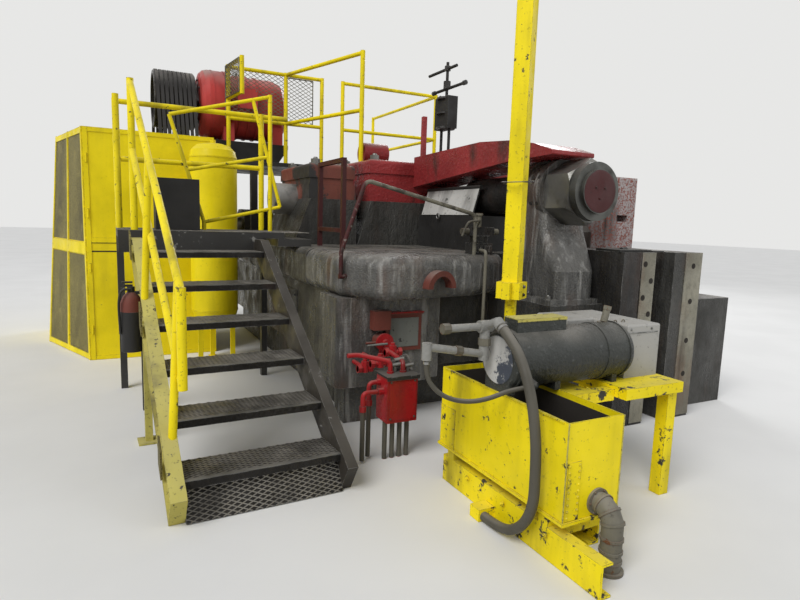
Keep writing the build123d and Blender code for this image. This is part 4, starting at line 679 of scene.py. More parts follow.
def make_finishes():
    """Materials of the solids and of the pieces added here."""
    # Colour, grime, chips, dust, gloss, what shows under it, and patches a metre
    paints = {
        "yellow": (YELLOW, 0.22, 0.55, 0.12),
        "rail_yellow": (YELLOW, 0.62, 1.0, 0.15, 0.42, DARK_CAST, 16.0),
        "tank_yellow": (YELLOW, 0.50, 1.0, 0.2, 0.38, DARK_CAST, 12.0),
        "worn_yellow": (YELLOW, 0.75, 1.3, 0.3, 0.50),
        "beige": (FADED, 1.0, 1.0, 0.3, 0.55, STRINGER_BROWN, 20.0),
        "terracotta": (TERRACOTTA, 0.7, 1.9, 0.45, 0.45, DARK_CAST, 1.8),
        "speckled": (PINKISH, 1.0, 1.9, 0.2, 0.42, TERRACOTTA, 58.0),
        "maroon": (MAROON, 0.5, 0.6, 0.4, 0.45),
        "bright_red": (BRIGHT_RED, 0.7, 0.7, 0.3, 0.30),
        "motor_red": (MOTOR_RED, 0.45, 0.4, 0.75, 0.38),
        "old_red": (OLD_RED, 0.5, 0.6, 0.5, 0.5),
        "black": (BLACK, 0.3, 0.3, 0.35, 0.5, GREY),
        "grey": (GREY, 0.6, 0.5, 0.45, 0.35, STEEL),
        "pipe": (PIPE_GREY, 0.8, 1.0, 0.4, 0.5, RUST, 14.0),
        "panel": (PANEL_GREY, 0.8, 1.0, 0.3, 0.45),
        "deck": (DECK_GREY, 0.6, 1.0, 0.35, 0.38, NUT_STEEL),
        "stringer": (STRINGER_BROWN, 0.6, 0.8, 0.18, 0.45, NUT_STEEL),
        "chalk": (CHALK, 0.85, 1.0, 0.3, 0.55, GREY),
        "cover": (COVER_GREY, 0.9, 0.9, 0.3, 0.5, GREY),
        "peeling": (CHALK, 0.5, 1.45, 0.2, 0.5, DISC_BLUE, 3.2),
        "rubber": (RUBBER, 0.2, 0.0, 0.6, 0.60),
        "hose": (HOSE_GREY, 0.5, 0.2, 0.5, 0.45),
        # Dark paint for painted shade in bolt and spanner holes, in the guard's slots and under its trim;
        # the tank's lining takes it too
        "painted_shade": (GRIME, 0.2, 0.0, 0.1, 0.8),
    }
    finishes = {key: worn_paint(key, *values) for key, values in paints.items()}
    finishes.update({
        "olive": mesh_sheet("olive", OLIVE),
        "red": oily_paint("red", DEEP_RED, 0.85),
        "vessel": oily_paint("vessel", VESSEL_GREY, 0.75, PALE_PIPE, VESSEL_END_X),
        "arch": two_tone_pipe("arch", MAROON, PIPE_GREY, ARCH_BORDER_X),
        "silver": casting("silver", SILVER, dust=0.40, rust=0.45, gloss=0.28, runs_and_sheen=0.70),
        "cast": casting("cast", CAST),
        "dark_cast": casting("dark_cast", DARK_CAST, dust=0.40),
        "tread": casting("tread", TREAD_BROWN, dust=0.03, rust=0.3, gloss=0.45),
        "die": casting("die", PALE_DIE, dust=0.3, rust=0.5, gloss=0.45),
        "steel": machined("steel", STEEL),
        "strand": machined("strand", STRAND_STEEL, dirt=0.45, gloss=0.34),
        "wire": machined("wire", WIRE_GREY, dirt=0.4, gloss=0.45),
        "cap": machined("cap", CAP_STEEL, dirt=0.6, gloss=0.38),
        "nut": machined("nut", NUT_STEEL, dirt=0.55, gloss=0.34),
    })
    return finishes


FINISHES = make_finishes()


def finish_nodes():
    """Put the finishes on the solids."""
    owners = {
        "yellow": ["flywheel_guard", "air_receiver"],
        "rail_yellow": ["motor_rails", "stair_handrail", "landing_rails", "leaning_gate", "hoist_post"],
        "tank_yellow": ["spray_tank"],
        "worn_yellow": ["tank_bracket", "tank_skid"],
        "beige": ["left_stringer"],
        "red": ["left_tie_beam", "right_tie_beam", "left_bearing_cap", "right_bearing_cap"],
        "old_red": ["hose_saddle", "valve_panel"],
        "maroon": ["ladder_frame"],
        "terracotta": ["outer_bearing_cap"],
        "speckled": ["right_front_upright"],
        "motor_red": ["motor"],
        "bright_red": ["junction_box"],
        "black": ["landing_bin", "motor_base", "motor_deck", "oil_valve_stand", "slide_cover",
                  "throat_cover"],
        "silver": ["grip_housing", "left_front_upright"],
        "cast": ["bed_frame", "right_die_block", "heading_slide", "back_bearing"],
        "dark_cast": ["motor_sheave", "tie_rod", "left_die_block"],
        "tread": ["stair_treads"],
        "stringer": ["right_stringer"],
        "deck": ["landing_deck"],
        "steel": ["crankshaft", "pitman", "back_shaft", "flywheel", "motor_screens"],
        "nut": ["tie_rod_nut"],
        "cap": ["tie_rod_cap"],
        "vessel": ["air_vessel"],
        "pipe": ["drain_elbow"],
        "arch": ["pipe_arch"],
        "cover": ["pump_cover"],
        "rubber": ["drive_belts", "big_hose", "thin_hose"],
    }
    for finish, names in owners.items():
        for name in names:
            slots = NODES[name].data.materials
            slots.clear()
            slots.append(FINISHES[finish])


def turned(point):
    """Point of the stair, turned in plan with the whole stair."""
    centre = Vector((STAIR_MIDDLE, FIRST_NOSING, 0.0))
    return Matrix.Rotation(math.radians(STAIR_TURN), 4, "Z") @ (Vector(point) - centre) + centre


def make_treads():
    """Raised mesh and worn nosings on the treads, and raised mesh on the landing."""
    mesh, nosings, bolts = Form(), Form(), Form()
    left, right = STAIR_X
    for step in range(TREAD_COUNT):
        front, top = FIRST_NOSING + step * GOING, RISER * (step + 1)

        def place(u, w, front=front, top=top):
            return turned((left + u, front + NOSING_W + w, top))

        mesh.lattice(place, right - left, TREAD_DEPTH - NOSING_W, *TREAD_MESH)
        spots = [(left, front), (right, front), (right, front + NOSING_W), (left, front + NOSING_W)]
        nosings.slab([turned((x, y, top)) for x, y in spots], NOSING_T)
        for along in TREAD_BOLTS:
            for x, out in ((left - WEB_T, -1), (right + WEB_T, 1)):
                bolts.bolt(turned((x, front + along, top - TREAD_BOLT_DROP)), (out, 0, 0), TREAD_BOLT_R)

    def toe(u, w):
        low, high = (Vector((left + u, y, z)) for y, z in (TOE_LOW, TOE_HIGH))
        return turned(low.lerp(high, w / TOE_H))

    mesh.lattice(toe, right - left, TOE_H, *TREAD_MESH)
    low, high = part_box("landing_deck")

    def deck(u, w):
        return Vector((low.x + u, LANDING_REAR_OF_NOTCH + w, high.z))

    mesh.lattice(deck, high.x - low.x - LANDING_EDGE, high.y - LANDING_REAR_OF_NOTCH, *LANDING_MESH)
    mesh.piece("raised_tread_mesh", "strand", "tread_steel")
    nosings.piece("worn_tread_nosings", "nut", "tread_steel")
    bolts.piece("tread_bolts", "dark_cast", "tread_steel")


def make_stringer_clamps():
    """Clamp brackets across the outer side of the left stringer."""
    clamps = Form()
    for y in CLAMP_Y:
        z = RISER + (y - FIRST_NOSING) * RISER / GOING - CLAMP_DROP
        corners = [(STAIR_X[0] - CLAMP_OUT, y + along, z + up) for along, up in CLAMP_PROFILE]
        clamps.slab([turned(corner) for corner in corners], -CLAMP_T)
    clamps.piece("stringer_clamps", "olive", "safety_yellow")


def make_screens():
    """Diamond wire mesh in thin frames: the screens, and the front one's end past the middle post."""
    low, high = Vector(SCREEN_LOW), Vector(SCREEN_HIGH)
    start, end = (Vector(spot) for spot in SIDE_SCREEN)
    along = (end - start).normalized()

    def front(u, w):
        return low + Vector((u, 0, w))

    def side(u, w):
        return start + along * u + Vector((0, 0, w))

    def past_post(u, w):
        return Vector((high.x - SCREEN_LAP + u, low.y, low.z + w))

    wires, gate = Form(), Form()
    wires.framed_mesh(front, high.x - low.x, high.z - low.z)
    wires.framed_mesh(side, (end - start).length, high.z - start.z)
    gate.framed_mesh(past_post, *PAST_POST)
    shown = wires.piece("diamond_mesh_screens", "wire", "tread_steel")
    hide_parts("motor_screens")
    gate.piece("gate_mesh_screen", "wire", "tread_steel")


def guard_point(u, w):
    """Point on the guard's leaning left face, by shares of its width and height."""
    foot = Vector(GUARD_FOOT[0]).lerp(Vector(GUARD_FOOT[1]), u)
    head = Vector(GUARD_HEAD[0]).lerp(Vector(GUARD_HEAD[1]), u)
    return foot.lerp(head, w)


def guard_strip(form, u, w, thickness):
    """Sheet on the guard's left face, between two shares of its width and of its height."""
    corners = ((u[0], w[0]), (u[0], w[1]), (u[1], w[1]), (u[1], w[0]))
    form.slab([guard_point(*corner) for corner in corners], thickness)


def make_guard():
    """Olive mesh panels in yellow trims on the guard's left face, and the marks on its front, among them
    dark strips of painted shade.
    """
    panels, trims, dark = Form(), Form(), Form()
    for u, w in product(((0.03, 0.47), (0.53, 0.97)), ((0.02, 0.46), (0.52, 0.98))):
        guard_strip(panels, u, w, 0.004)
    for u in (0.015, 0.50, 0.985):
        guard_strip(trims, (u - 0.015, u + 0.015), (0.0, 1.0), 0.012)
    for w, half in ((0.015, 0.012), (0.49, 0.025), (0.985, 0.012)):
        guard_strip(trims, (0.0, 1.0), (w - half, w + half), 0.012)
    left, front, _ = GUARD_FOOT[0]
    inner = left + 0.05
    # The dark boxes are painted shade: two slots, and a line just under the middle trim
    for form, x0, x1, thickness, z0, z1 in (
            (trims, left, inner, 0.008, 0.0, 2.575), (trims, inner, GUARD_RIGHT, 0.006, 2.53, 2.575),
            (trims, inner, GUARD_RIGHT, 0.006, 0.0, 0.045), (trims, inner, GUARD_RIGHT, 0.006, 1.33, 1.385),
            (trims, -4.129, -4.041, 0.020, 1.46, 1.49), (dark, -4.418, -4.057, 0.002, 1.225, 1.240),
            (dark, left, GUARD_RIGHT, 0.003, 1.322, 1.330), (dark, -3.98, -3.35, 0.002, 2.255, 2.275)):
        form.box((x0, x1), (front - thickness, front), (z0, z1))
    for z in (0.35, 1.05, 1.65, 2.25):
        trims.post(left + 0.03, front - 0.012, z - 0.05, z + 0.05, 0.010)
    rear, rear_left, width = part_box("flywheel_guard")[1].y, -4.70, 0.045
    for z in (0.0, 1.33, 2.53):
        trims.box((rear_left, GUARD_RIGHT), (rear, rear + 0.006), (z, z + width))
    for x in (rear_left, -3.90, GUARD_RIGHT - width):
        trims.box((x, x + width), (rear + 0.001, rear + 0.009), (width, 2.53))
    for z in (0.45, 1.00, 1.75, 2.20):
        trims.post(-3.905, rear + 0.012, z - 0.06, z + 0.06, 0.012)
    for z in (0.75, 1.95):
        profile = ((rear, -0.08), (rear + 0.045, -0.08), (rear + 0.045, 0.08), (rear, 0.08))
        trims.tube(bend([(-3.20, y, z + up) for y, up in profile], 0.015, 3), 0.008, 8)
    panels.piece("guard_mesh_panels", "olive", "safety_yellow")
    trims.piece("guard_trims", "yellow", "safety_yellow")
    dark.piece("guard_slot_shade", "painted_shade", "black_steel")


def make_sheave_ribs():
    """Ribs between the belt grooves; they turn with the sheave."""
    ribs = Form()
    first, last = SHEAVE_X[0] + SHEAVE_RIM, SHEAVE_X[1] - SHEAVE_RIM
    for k in range(BELT_COUNT + 1):
        x = first + k * (last - first) / BELT_COUNT
        ribs.hoop((x, *DRIVE_AXIS), RIGHT, SHEAVE_R, 0.006, 0.012, 72)
    ribs.bolts(circle((SHEAVE_X[1] - 0.192, *DRIVE_AXIS), BACK, UP, 0.07, 6), LEFT, 0.010)
    ribs.piece("sheave_ribs", "cast", "sheave_iron", "sheave")


def make_motor():
    """Cover rings, bolts, lifting eye and terminal box of the motor."""
    y, z = DRIVE_AXIS
    red, steel = Form(), Form()
    for x, radius, width, height in MOTOR_RINGS:
        red.hoop((x, y, z), RIGHT, radius, width, height, 72)
    red.hoop((-3.112, y, z), RIGHT, 0.20, 0.012, 0.05)
    red.box((-2.66, -2.42), (y - 0.47, y - 0.36), (z - 0.06, z + 0.17))
    red.box((-2.67, -2.41), (y - 0.478, y - 0.47), (z - 0.07, z + 0.18))
    steel.bolts(circle((-3.110, y, z), BACK, UP, 0.30, 8, 0.2), LEFT, 0.014)
    steel.bolts(product((-2.652, -2.428), (y - 0.478,), (z - 0.052, z + 0.162)), FRONT, 0.007)
    steel.bolts(product((-2.90, -2.72, -2.24, -2.06), (y - 0.30, y + 0.30), (2.650,)), UP, 0.016)
    steel.eye((-2.60, y, z + 0.425), BACK, UP, 0.030, 0.008, 14)
    red.piece("motor_rings_and_box", "motor_red", "motor_red")
    steel.piece("motor_bolts", "dark_cast", "sheave_iron")


def make_front_bolts():
    """Bolts of the column's foot, and of the bearing caps where no tie beam covers them."""
    bolts = Form()
    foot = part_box("left_front_upright")[0]
    bolts.bolts(product((foot.x + 0.042,), (foot.y + 0.08, -2.62, -2.42), (1.075,)), UP, 0.024)
    for name, top in CAP_TOPS.items():
        low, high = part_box(name)
        spots = product((low.x + 0.11, high.x - 0.11), (low.y + 0.12, high.y - 0.12), (top,))
        if name == "left_bearing_cap":
            spots = [(x, y, z) for x, y, z in spots if x < -1.1 or y > 0]
        bolts.bolts(spots, UP, 0.050)
    bolts.piece("frame_bolts", "nut", "cast_grey")


def make_cap_patch():
    """Dark red painted round on the tie-rod cap, and dark discs of painted shade in the spanner recesses of
    the collar behind the nut.
    """
    patch, holes_and_shade = Form(), Form()
    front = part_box("tie_rod_cap")[0].y
    x, z = ROD_AXIS
    radii = [0.120, 0.150, CAP_DISC_R - 0.010, CAP_DISC_R - 0.006]
    patch.tube([(x, front - out, z) for out in (0.0030, 0.0024, 0.0016, 0.0)], radii, 64)
    patch.bolts(circle((x, front - 0.003, z), RIGHT, UP, 0.055, 3, 0.5), FRONT, 0.008)
    # Dark discs on the collar are painted shade in its spanner holes
    for depth in (0.045, 0.125):
        centre = Vector((x, BOSS_FRONT + depth, z))
        for spot in circle(centre, RIGHT, UP, BOSS_R, 8, 0.35):
            out = (spot - centre).normalized()
            holes_and_shade.rod(spot - out * 0.004, spot + out * 0.0015, 0.017, 16)
    patch.piece("cap_painted_round", "maroon", "dark_red")
    holes_and_shade.piece("collar_hole_shade", "painted_shade", "black_steel")


def make_dies():
    """Pale clamp plates on the die blocks, with dark discs of painted shade in their bolt openings, and the
    wedge on top.
    """
    plates, holes_and_shade, wedge = Form(), Form(), Form()
    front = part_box("left_die_block")[0].y
    for sides in DIE_PLATES:
        plates.box(sides, (front - 0.006, front), (0.02, DIE_TOP))
    # Dark discs on the plates are painted shade in the bolt holes
    for x, heights in DIE_HOLES.items():
        for z in heights:
            holes_and_shade.rod((x, front - 0.0075, z), (x, front - 0.005, z), 0.024, 20)
    plates.piece("die_clamp_plates", "die", "cast_grey")
    holes_and_shade.piece("die_bolt_hole_shade", "painted_shade", "black_steel")
    corners = ((-0.56, -3.12), (-0.20, -3.12), (-0.16, -2.86), (-0.50, -2.80))
    thickness = 0.018
    wedge.slab([(x, y, DIE_TOP) for x, y in corners], thickness)
    wedge.rod((-0.42, -3.00, DIE_TOP + thickness), (-0.30, -2.94, DIE_TOP + thickness), 0.016)
    wedge.box((-0.155, -0.02), (-3.10, -2.90), (DIE_TOP, DIE_TOP + 0.010))
    wedge.piece("die_wedge", "black", "black_steel")


def make_throat_cover():
    """Pale leaning sheet over the black box, with its eye bolt."""
    sheet, eye = Form(), Form()
    low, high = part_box("throat_cover")
    front, rear = low.y + 0.07, high.y - 0.07
    foot, crown = 1.750, 2.022
    profile = ((-1.063, front, foot), (-1.063, rear, foot), (-0.988, rear, crown), (-0.988, front, crown))
    sheet.slab(profile, -0.004)
    for y in (front + 0.04, (front + rear) / 2, rear - 0.04):
        sheet.rod((-1.068, y, foot + 0.02), (-1.056, y, foot + 0.02), 0.008, 8)
    sheet.rod((-0.990, front, crown), (-0.990, rear, crown), 0.007, 8)
    eye.eye((-1.085, -1.10, 1.735), BACK, UP, 0.028, 0.007, 16)
    eye.rod((-1.060, -1.10, 1.735), (-1.085, -1.10, 1.763), 0.007)
    sheet.piece("pale_cover_sheet", "chalk", "black_steel")
    eye.piece("cover_eye_bolt", "steel", "bright_steel")


def make_manifold():
    """Valve manifold on the grip housing's top, with the pipes that rise to it."""
    block, pipes, caps = Form(), Form(), Form()
    for sides in MANIFOLD_BLOCKS:
        block.box(*sides)
    for x in (-1.385, -1.340, -1.295, -1.250):
        block.box((x, x + 0.030), (-2.285, -2.27), (1.42, 1.48))
    for x in (-1.44, -1.16):
        caps.rod((x - 0.05, -2.20, 1.60), (x + 0.05, -2.20, 1.60), 0.028)
    caps.post(-1.31, -2.20, 1.64, 1.74, 0.022)
    caps.post(-1.31, -2.20, 1.74, 1.76, 0.034)
    for radius, bend_r, route in MANIFOLD_PIPES:
        pipes.tube(bend(route, bend_r), radius)
    block.piece("valve_manifold", "dark_cast", "vessel_grey", bevel=0.004)
    caps.piece("manifold_solenoids", "pipe", "vessel_grey")
    pipes.piece("manifold_pipes", "pipe", "vessel_grey")


def red_cock(form, x, y, z, reach):
    """Cock in a short pipe across, with its stem and the pipe to the wall behind it."""
    left, right = x - reach / 2, x + reach / 2
    form.rod((left, y, z), (right, y, z), 0.024, 12)
    form.rod((left, y, z), (left + 0.03, y, z), 0.036, 6)
    form.rod((right - 0.03, y, z), (right, y, z), 0.036, 6)
    form.post(x, y, z - 0.03, z + 0.055, 0.030, 8)
    form.post(x, y, z + 0.055, z + 0.075, 0.018, 8)
    form.rod((x, y + 0.02, z), (x, HOUSING_WALL, z), 0.018, 10)


def make_valve_station():
    """Faces, red valve and small pipework on the panel and the junction box."""
    red, grey, pale, brass, lid = Form(), Form(), Form(), Form(), Form()
    wall, front = HOUSING_WALL, BOX_FRONT
    red.box((-2.265, -1.925), (wall - 0.064, wall), (0.928, 0.938))
    red.box((-1.910, -1.817), (wall + 0.055, wall + 0.062), (0.743, 0.868))
    pale.box((-2.225, -1.960), (wall - 0.036, wall - 0.03), (0.645, 0.885))
    x, z = ROUND_VALVE
    red.rod((x, wall - 0.09, z), (x, wall - 0.112, z), 0.074, 24)
    red.rod((x, wall - 0.112, z), (x, wall - 0.150, z), 0.030, 16)
    red.post(x, wall - 0.05, z, 0.590, 0.026, 14)
    pale.rod((x, wall - 0.145, z), (-2.47, wall - 0.145, 0.700), 0.011, 10, 0.007)
    lid.box(BOX_X, (front - 0.006, -2.858), (0.605, 0.618))
    lid.box(BOX_X, (front - 0.010, front - 0.006), (0.590, 0.618))
    for x in (-2.54, -2.39):
        lid.rod((x - 0.02, front - 0.010, 0.612), (x + 0.02, front - 0.010, 0.612), 0.007, 8)
    red.box((-2.566, -2.361), (front, front + 0.006), (0.305, 0.590))
    grey.bolts(product((-2.555, -2.372), (front,), (0.318, 0.576)), FRONT, 0.006)
    for route in RED_PIPES:
        red.tube(bend(route, 0.035), 0.017, 12)
        red.rod(route[0], Vector(route[0]).lerp(Vector(route[1]), 0.3), 0.025, 8)
    for k in range(4):
        x = -2.579 + 0.231 * (k + 0.5) / 4
        grey.post(x, -2.960, 0.002, 0.284, 0.0172, 14)
    for x, y, top in ((-2.66, -2.92, 0.41), (-2.73, -2.98, 0.39)):
        grey.post(x, y, top, 0.02, 0.017)
        red.post(x, y, top - 0.02, top + 0.02, 0.025, 8)
    for x, y, z in SMALL_FITTINGS:
        brass.post(x, y, 0.618, z, 0.016, 6)
        brass.rod((x - 0.03, y, z), (x + 0.04, y - 0.01, z + 0.01), 0.015)
    for cock in RED_COCKS:
        red_cock(red, *cock)
    brass.tube(bend(THIN_PIPE, 0.05), 0.010, 8)
    red.piece("red_valve_fittings", "bright_red", "motor_red")
    grey.piece("conduits_and_screws", "hose", "vessel_grey")
    pale.piece("panel_face_and_lever", "panel", "vessel_grey")
    lid.piece("junction_box_lid", "black", "black_steel")
    brass.piece("small_pipe_fittings", "nut", "bright_steel")


def weld_bead(form, start, step, count, thick, thin):
    """Bead of a weld, thick and thin in turn."""
    spots = [Vector(start) + Vector(step) * k for k in range(count)]
    form.tube(spots, [thin if k % 2 else thick for k in range(count)], 6)


def make_tank_patches():
    """Wear plates of the spray tank, and the strip along its rim."""
    yellow = Form()
    (x0, y0, _), (_, y1, _) = TANK_LOW, TANK_HIGH
    yellow.box((-2.318, -2.235), (y0 - 0.004, y0), (0.245, 0.545))
    yellow.box((x0 - 0.003, x0), (-3.520, y1), (0.240, 0.500))
    yellow.box((-2.338, -2.330), (-4.47, -3.38), (0.735, 0.743))
    yellow.piece("tank_patch_and_rim", "worn_yellow", "safety_yellow")


def make_lining():
    """Dark lining of the spray tank: four sides and a floor."""
    liner = Form()
    (x0, y0, z0), (x1, y1, z1) = TANK_LOW, TANK_HIGH
    out, inside, corner = LINING_OUT, LINING_IN, 0.010
    sides = (z0 + corner, z1 - 0.035)
    liner.box((x0 + out, x0 + inside), (y0 + out, y1 - out), sides)
    liner.box((x1 - inside, x1 - out), (y0 + out, y1 - out), sides)
    liner.box((x0 + corner, x1 - corner), (y0 + out, y0 + inside), sides)
    liner.box((x0 + corner, x1 - corner), (y1 - inside, y1 - out), sides)
    liner.box((x0 + corner, x1 - corner), (y0 + corner, y1 - corner), (z0 + out, z0 + 0.011))
    # The lining takes the same dark finish as the painted shade in holes and slots
    liner.piece("tank_dark_lining", "painted_shade", "black_steel")


def make_rivets_and_welds():
    """Rivets and weld beads of the spray tank, and bolts of its skid."""
    rivets, welds = Form(), Form()
    (x0, y0, z0), (x1, _, _) = TANK_LOW, TANK_HIGH
    for k, x in product(range(9), (-2.308, -2.246)):
        z = 0.262 + 0.033 * k
        rivets.rod((x, y0 - 0.004, z), (x, y0 - 0.009, z), 0.0075, 10, 0.004)
    for z, y in product((0.27, 0.37, 0.47), (-3.500, -3.375)):
        rivets.rod((x0 - 0.003, y, z), (x0 - 0.008, y, z), 0.0075, 10, 0.004)
    rivets.bolts(product((x0 - 0.012,), (-4.40, -4.05, -3.70, -3.45), (0.133,)), LEFT, 0.012)
    for x in (x0, x1):
        weld_bead(welds, (x, y0 - 0.001, z0), (0, 0, 0.02), 27, 0.0045, 0.0032)
    weld_bead(welds, (x0 - 0.001, y0, z0 + 0.002), (0, 0.02, 0), 57, 0.0050, 0.0034)
    weld_bead(welds, (x0, y0 - 0.001, z0 + 0.002), (0.02, 0, 0), 19, 0.0050, 0.0034)
    rivets.piece("tank_rivets", "worn_yellow", "safety_yellow")
    welds.piece("tank_weld_beads", "beige", "safety_yellow")


def make_elbow_rings():
    """Rings and flange bolts of the drain elbow."""
    rings = Form()
    x, y, z = ELBOW_HUB
    for turn in (math.radians(degrees) for degrees in (15, 45, 75)):
        spot = (x, y - ELBOW_BEND_R * math.sin(turn), z + ELBOW_BEND_R * math.cos(turn))
        rings.hoop(spot, (0, math.cos(turn), math.sin(turn)), 0.0530, 0.012, 0.005)
    for height in (0.175, 0.110, 0.060):
        rings.hoop((x, y - 0.090, height), UP, 0.0525, 0.014, 0.005)
    flange = (x, TANK_LOW[1] - 0.014, 0.315)
    rings.bolts(circle(flange, RIGHT, UP, 0.0605, 6), FRONT, 0.0055)
    rings.piece("elbow_rings", "pipe", "vessel_grey")


def make_vessel_details():
    """Straps, end rims, peeling end disc and the caps of the vessel's pipes, and the box lid on it."""
    bands, disc, fittings, top = Form(), Form(), Form(), Form()
    for x, width, height in ((-1.640, 0.045, 0.004), (-2.290, 0.012, 0.006), (-1.480, 0.012, 0.006)):
        bands.hoop((x, VESSEL_Y, VESSEL_Z), RIGHT, VESSEL_R, width, height, 64)
    face = [(-2.336 - out, VESSEL_Y, VESSEL_Z) for out in (0.0, 0.003, 0.0045, 0.0055)]
    disc.tube(face, [0.136, 0.133, 0.09, 0.03], 64)
    disc.rod((-2.3415, VESSEL_Y, VESSEL_Z), (-2.3455, VESSEL_Y, VESSEL_Z), 0.010, 8)
    for x in (-2.655, -2.36):
        fittings.rod((x - 0.022, PIPE_Y, PIPE_TOP_Z), (x + 0.022, PIPE_Y, PIPE_TOP_Z), 0.030, 8)
    fittings.rod((-2.662, PIPE_Y, PIPE_TOP_Z), (-2.664, PIPE_Y, PIPE_TOP_Z), 0.014)
    fittings.post(-2.400, PIPE_Y, 1.00, 1.04, 0.036, 8)
    fittings.rod((-2.55, PIPE_Y, 0.977), (-2.59, PIPE_Y, 0.984), 0.028, 8)
    top.box((-2.262, -1.908), (-3.992, -3.868), (1.150, 1.155))
    top.box((-2.262, -1.908), (-3.994, -3.991), (1.138, 1.155))
    top.bolts(((-2.20, -3.994, 1.146), (-1.97, -3.994, 1.146)), FRONT, 0.005)
    bands.piece("vessel_straps", "vessel", "vessel_grey")
    disc.piece("vessel_end_disc", "peeling", "vessel_grey")
    fittings.piece("pipe_couplings", "pipe", "vessel_grey")
    top.piece("relay_box_lid", "beige", "safety_yellow")


def make_cover_details():
    """Fitting, clips and seam of the pale pump cover."""
    low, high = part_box("pump_cover")
    seam, fitting = Form(), Form()
    seam.box((low.x + 0.02, high.x - 0.02), (low.y - 0.003, low.y), (high.z - 0.055, high.z - 0.049))
    across = [low.x + (high.x - low.x) * share for share in (0.15, 0.50, 0.85)]
    seam.bolts([(x, low.y, high.z - 0.030) for x in across], FRONT, 0.006)
    x, y, z = low.x + 0.12, low.y + 0.10, high.z
    fitting.post(x, y, z, z + 0.012, 0.040, 20)
    fitting.rod((x, y, z + 0.012), (x + 0.02, y, z + 0.085), 0.022, 14)
    fitting.rod((x + 0.02, y, z + 0.085), (x + 0.026, y, z + 0.110), 0.027, 6)
    for along in (0.10, 0.17):
        fitting.eye((x + along, y, z + 0.004), RIGHT, UP, 0.012, 0.004, 12, 6)
    seam.piece("pump_cover_seam", "grey", "vessel_grey")
    fitting.piece("pump_cover_fitting", "pipe", "vessel_grey")


def make_hoses():
    """The two hoses, as smooth curves on the routes of the solids."""
    for name, route, radius, length, clips in HOSES:
        curve = bpy.data.curves.new(name + "_line", "CURVE")
        curve.dimensions = "3D"
        curve.bevel_depth = radius
        curve.bevel_resolution = 5
        curve.resolution_u = 12
        curve.use_fill_caps = True
        spline = curve.splines.new("NURBS")
        spline.points.add(len(route) - 1)
        for point, spot in zip(spline.points, route):
            point.co = (*spot, 1.0)
        spline.order_u = 3
        spline.use_endpoint_u = True
        curve.materials.append(FINISHES["hose"])
        shown = show(name + "_tube", curve)
        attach(shown, BODY)
        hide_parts(name)
        rings = Form()
        for spot, ahead in clips:
            rings.hoop(spot, ahead, radius, 0.014, 0.004, 24)
        clamps = rings.piece(name + "_clamps", "steel", "bright_steel")
        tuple(route[0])


def make_mast_details():
    """Bracket, wire rings and collar bolts of the mast."""
    steel, arm = Form(), Form()
    x, y = MAST_AT
    steel.eye((x, y, 1.975), (1, 0, 0.1), (0, 1, 0.05), 0.115, 0.0035, 28, 6)
    steel.eye((x, y, 1.962), (1, 0.05, 0), (0, 1, -0.04), 0.100, 0.0035, 28, 6)
    turn = math.radians(MAST_TURN)
    out = Vector((math.cos(turn), math.sin(turn), 0))
    across = Vector((-math.sin(turn), math.cos(turn), 0))
    for way in (out, -out, across, -across):
        steel.bolts([Vector((x, y, z)) + way * 0.088 for z in (1.165, 1.225)], way, 0.011)
    face = Vector((x, y, 2.40)) + out * 0.058
    plate = ((0.05, -0.06), (-0.05, -0.06), (-0.05, 0.06), (0.05, 0.06))
    arm.slab([face + across * u + Vector((0, 0, w)) for u, w in plate], 0.012)
    arm.rod(face, face + out * 0.11, 0.014)
    steel.piece("mast_wire_and_bolts", "dark_cast", "cast_grey")
    arm.piece("mast_bracket", "worn_yellow", "safety_yellow")


def make_extinguisher():
    """Fire extinguisher that hangs from the left stringer."""
    body, head = Form(), Form()
    x, y = EXTINGUISHER_AT
    shape = {0.670: 0.060, 0.690: 0.075, 1.02: 0.075, 1.07: 0.055, 1.10: 0.028}
    body.tube([(x, y, z) for z in shape], list(shape.values()), 28)
    head.post(x, y, 0.668, 0.96, 0.0765, 28)
    head.post(x, y, 1.10, 1.14, 0.026, 14)
    head.box((x - 0.05, x + 0.012), (y - 0.012, y + 0.012), (1.14, 1.155))
    head.box((x - 0.06, x + 0.012), (y - 0.012, y + 0.012), (1.165, 1.178))
    hose = ((0.0, -0.02, 1.12), (-0.07, -0.05, 1.13), (-0.085, -0.05, 1.02), (-0.078, -0.03, 0.80))
    head.tube(bend([(x + dx, y + dy, z) for dx, dy, z in hose], 0.05), 0.009, 8)
    head.box((x + 0.02, -4.00), (y - 0.02, y + 0.02), (1.085, 1.105))
    head.box((-4.02, -4.00), (y - 0.03, y + 0.03), (1.03, 1.12))
    body.piece("extinguisher_body", "old_red", "motor_red")
    head.piece("extinguisher_head", "black", "black_steel")


def make_valve_stand():
    """Flanges and small bolts of the oil valve over the left beam."""
    dark = Form()
    x, y = OIL_VALVE_AT
    for z in (2.700, 2.857, 3.015):
        dark.post(x, y, z - 0.010, z + 0.010, 0.105, 20)
    dark.bolts(circle((x, y, 3.025), RIGHT, BACK, 0.080, 6), UP, 0.010)
    dark.post(x, y, 3.12, 3.20, 0.040, 8)
    dark.post(x, y, 3.31, 3.36, 0.034, 8)
    for end in (-1.19, -0.56):
        dark.rod((x, end - 0.01, 3.12), (x, end + 0.03, 3.12), 0.026, 8)
    dark.piece("oil_valve_flanges", "dark_cast", "black_steel")


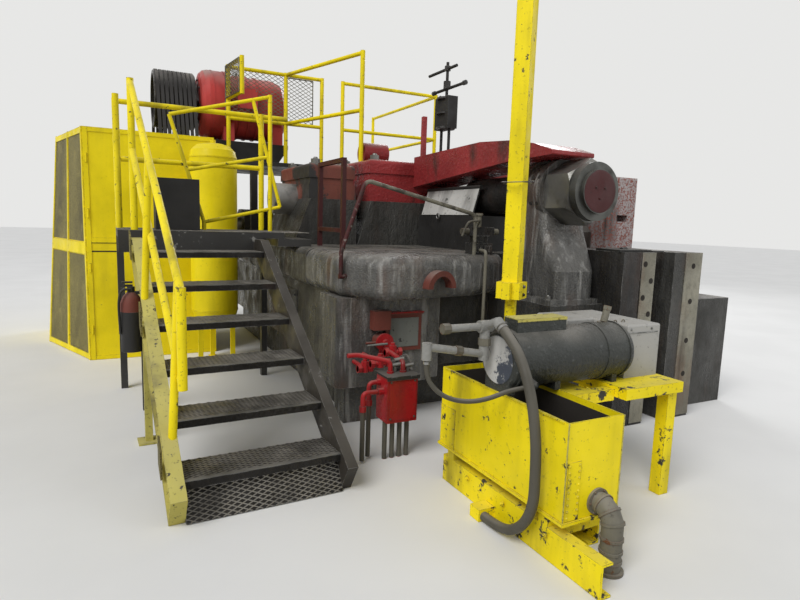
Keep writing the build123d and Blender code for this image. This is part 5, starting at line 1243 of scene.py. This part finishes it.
def cover_plate(plates, bolts, xs, ys, out):
    """Cover plate on an upright side of the bed, with three bolts along each long edge."""
    plates.box(xs, ys, PLATE_Z)
    low, high = ys if out[0] else xs
    for u in (low + PLATE_BOLT_IN, (low + high) / 2, high - PLATE_BOLT_IN):
        for z in PLATE_BOLT_Z:
            spot = (xs[out[0] > 0], u, z) if out[0] else (u, ys[1], z)
            bolts.bolt(spot, out, PLATE_BOLT_R)


def make_bed_details():
    """Cover plates and bolts on the sides and the rear of the bed."""
    plates, bolts = Form(), Form()
    right, rear, left = 1.150, 2.450, -2.560
    for ys in ((-1.75, -0.75), (-0.35, 0.65), (1.05, 2.05)):
        cover_plate(plates, bolts, (right, right + PLATE_T), ys, RIGHT)
    for xs in ((-2.10, -1.10), (-0.60, 0.60)):
        cover_plate(plates, bolts, xs, (rear, rear + PLATE_T), BACK)
    cover_plate(plates, bolts, (left - PLATE_T, left), (-0.90, 0.40), LEFT)
    bolts.bolts(product((right - 0.05,), (-1.55, 0.10, 1.75), (1.400,)), UP, 0.030)
    plates.piece("bed_cover_plates", "dark_cast", "cast_grey")
    bolts.piece("bed_bolts", "nut", "cast_grey")


def make_receiver_details():
    """Weld seams, foot pads and top fitting of the air receiver."""
    seams = Form()
    x, y = RECEIVER_AT
    for z in (0.605, 1.45, 2.300):
        seams.hoop((x, y, z), UP, RECEIVER_R, 0.014, 0.004, 64)
    seams.post(x, y, 2.45, 2.50, 0.030, 8)
    for spot in circle((x, y, 0), BACK, LEFT, RECEIVER_LEGS_R, 3):
        seams.box((spot.x - 0.045, spot.x + 0.045), (spot.y - 0.045, spot.y + 0.045), (0.0, 0.010))
    seams.piece("receiver_seams", "yellow", "safety_yellow")


MAKERS = (
    make_treads, make_stringer_clamps, make_screens, make_guard, make_sheave_ribs, make_motor,
    make_front_bolts, make_cap_patch, make_dies, make_throat_cover, make_manifold, make_valve_station,
    make_tank_patches, make_lining, make_rivets_and_welds, make_elbow_rings, make_vessel_details,
    make_cover_details, make_hoses, make_mast_details, make_extinguisher, make_valve_stand,
    make_bed_details, make_receiver_details,
)

set_camera()
set_lights()
set_world()
make_floor()
finish_nodes()
for make in MAKERS:
    make()
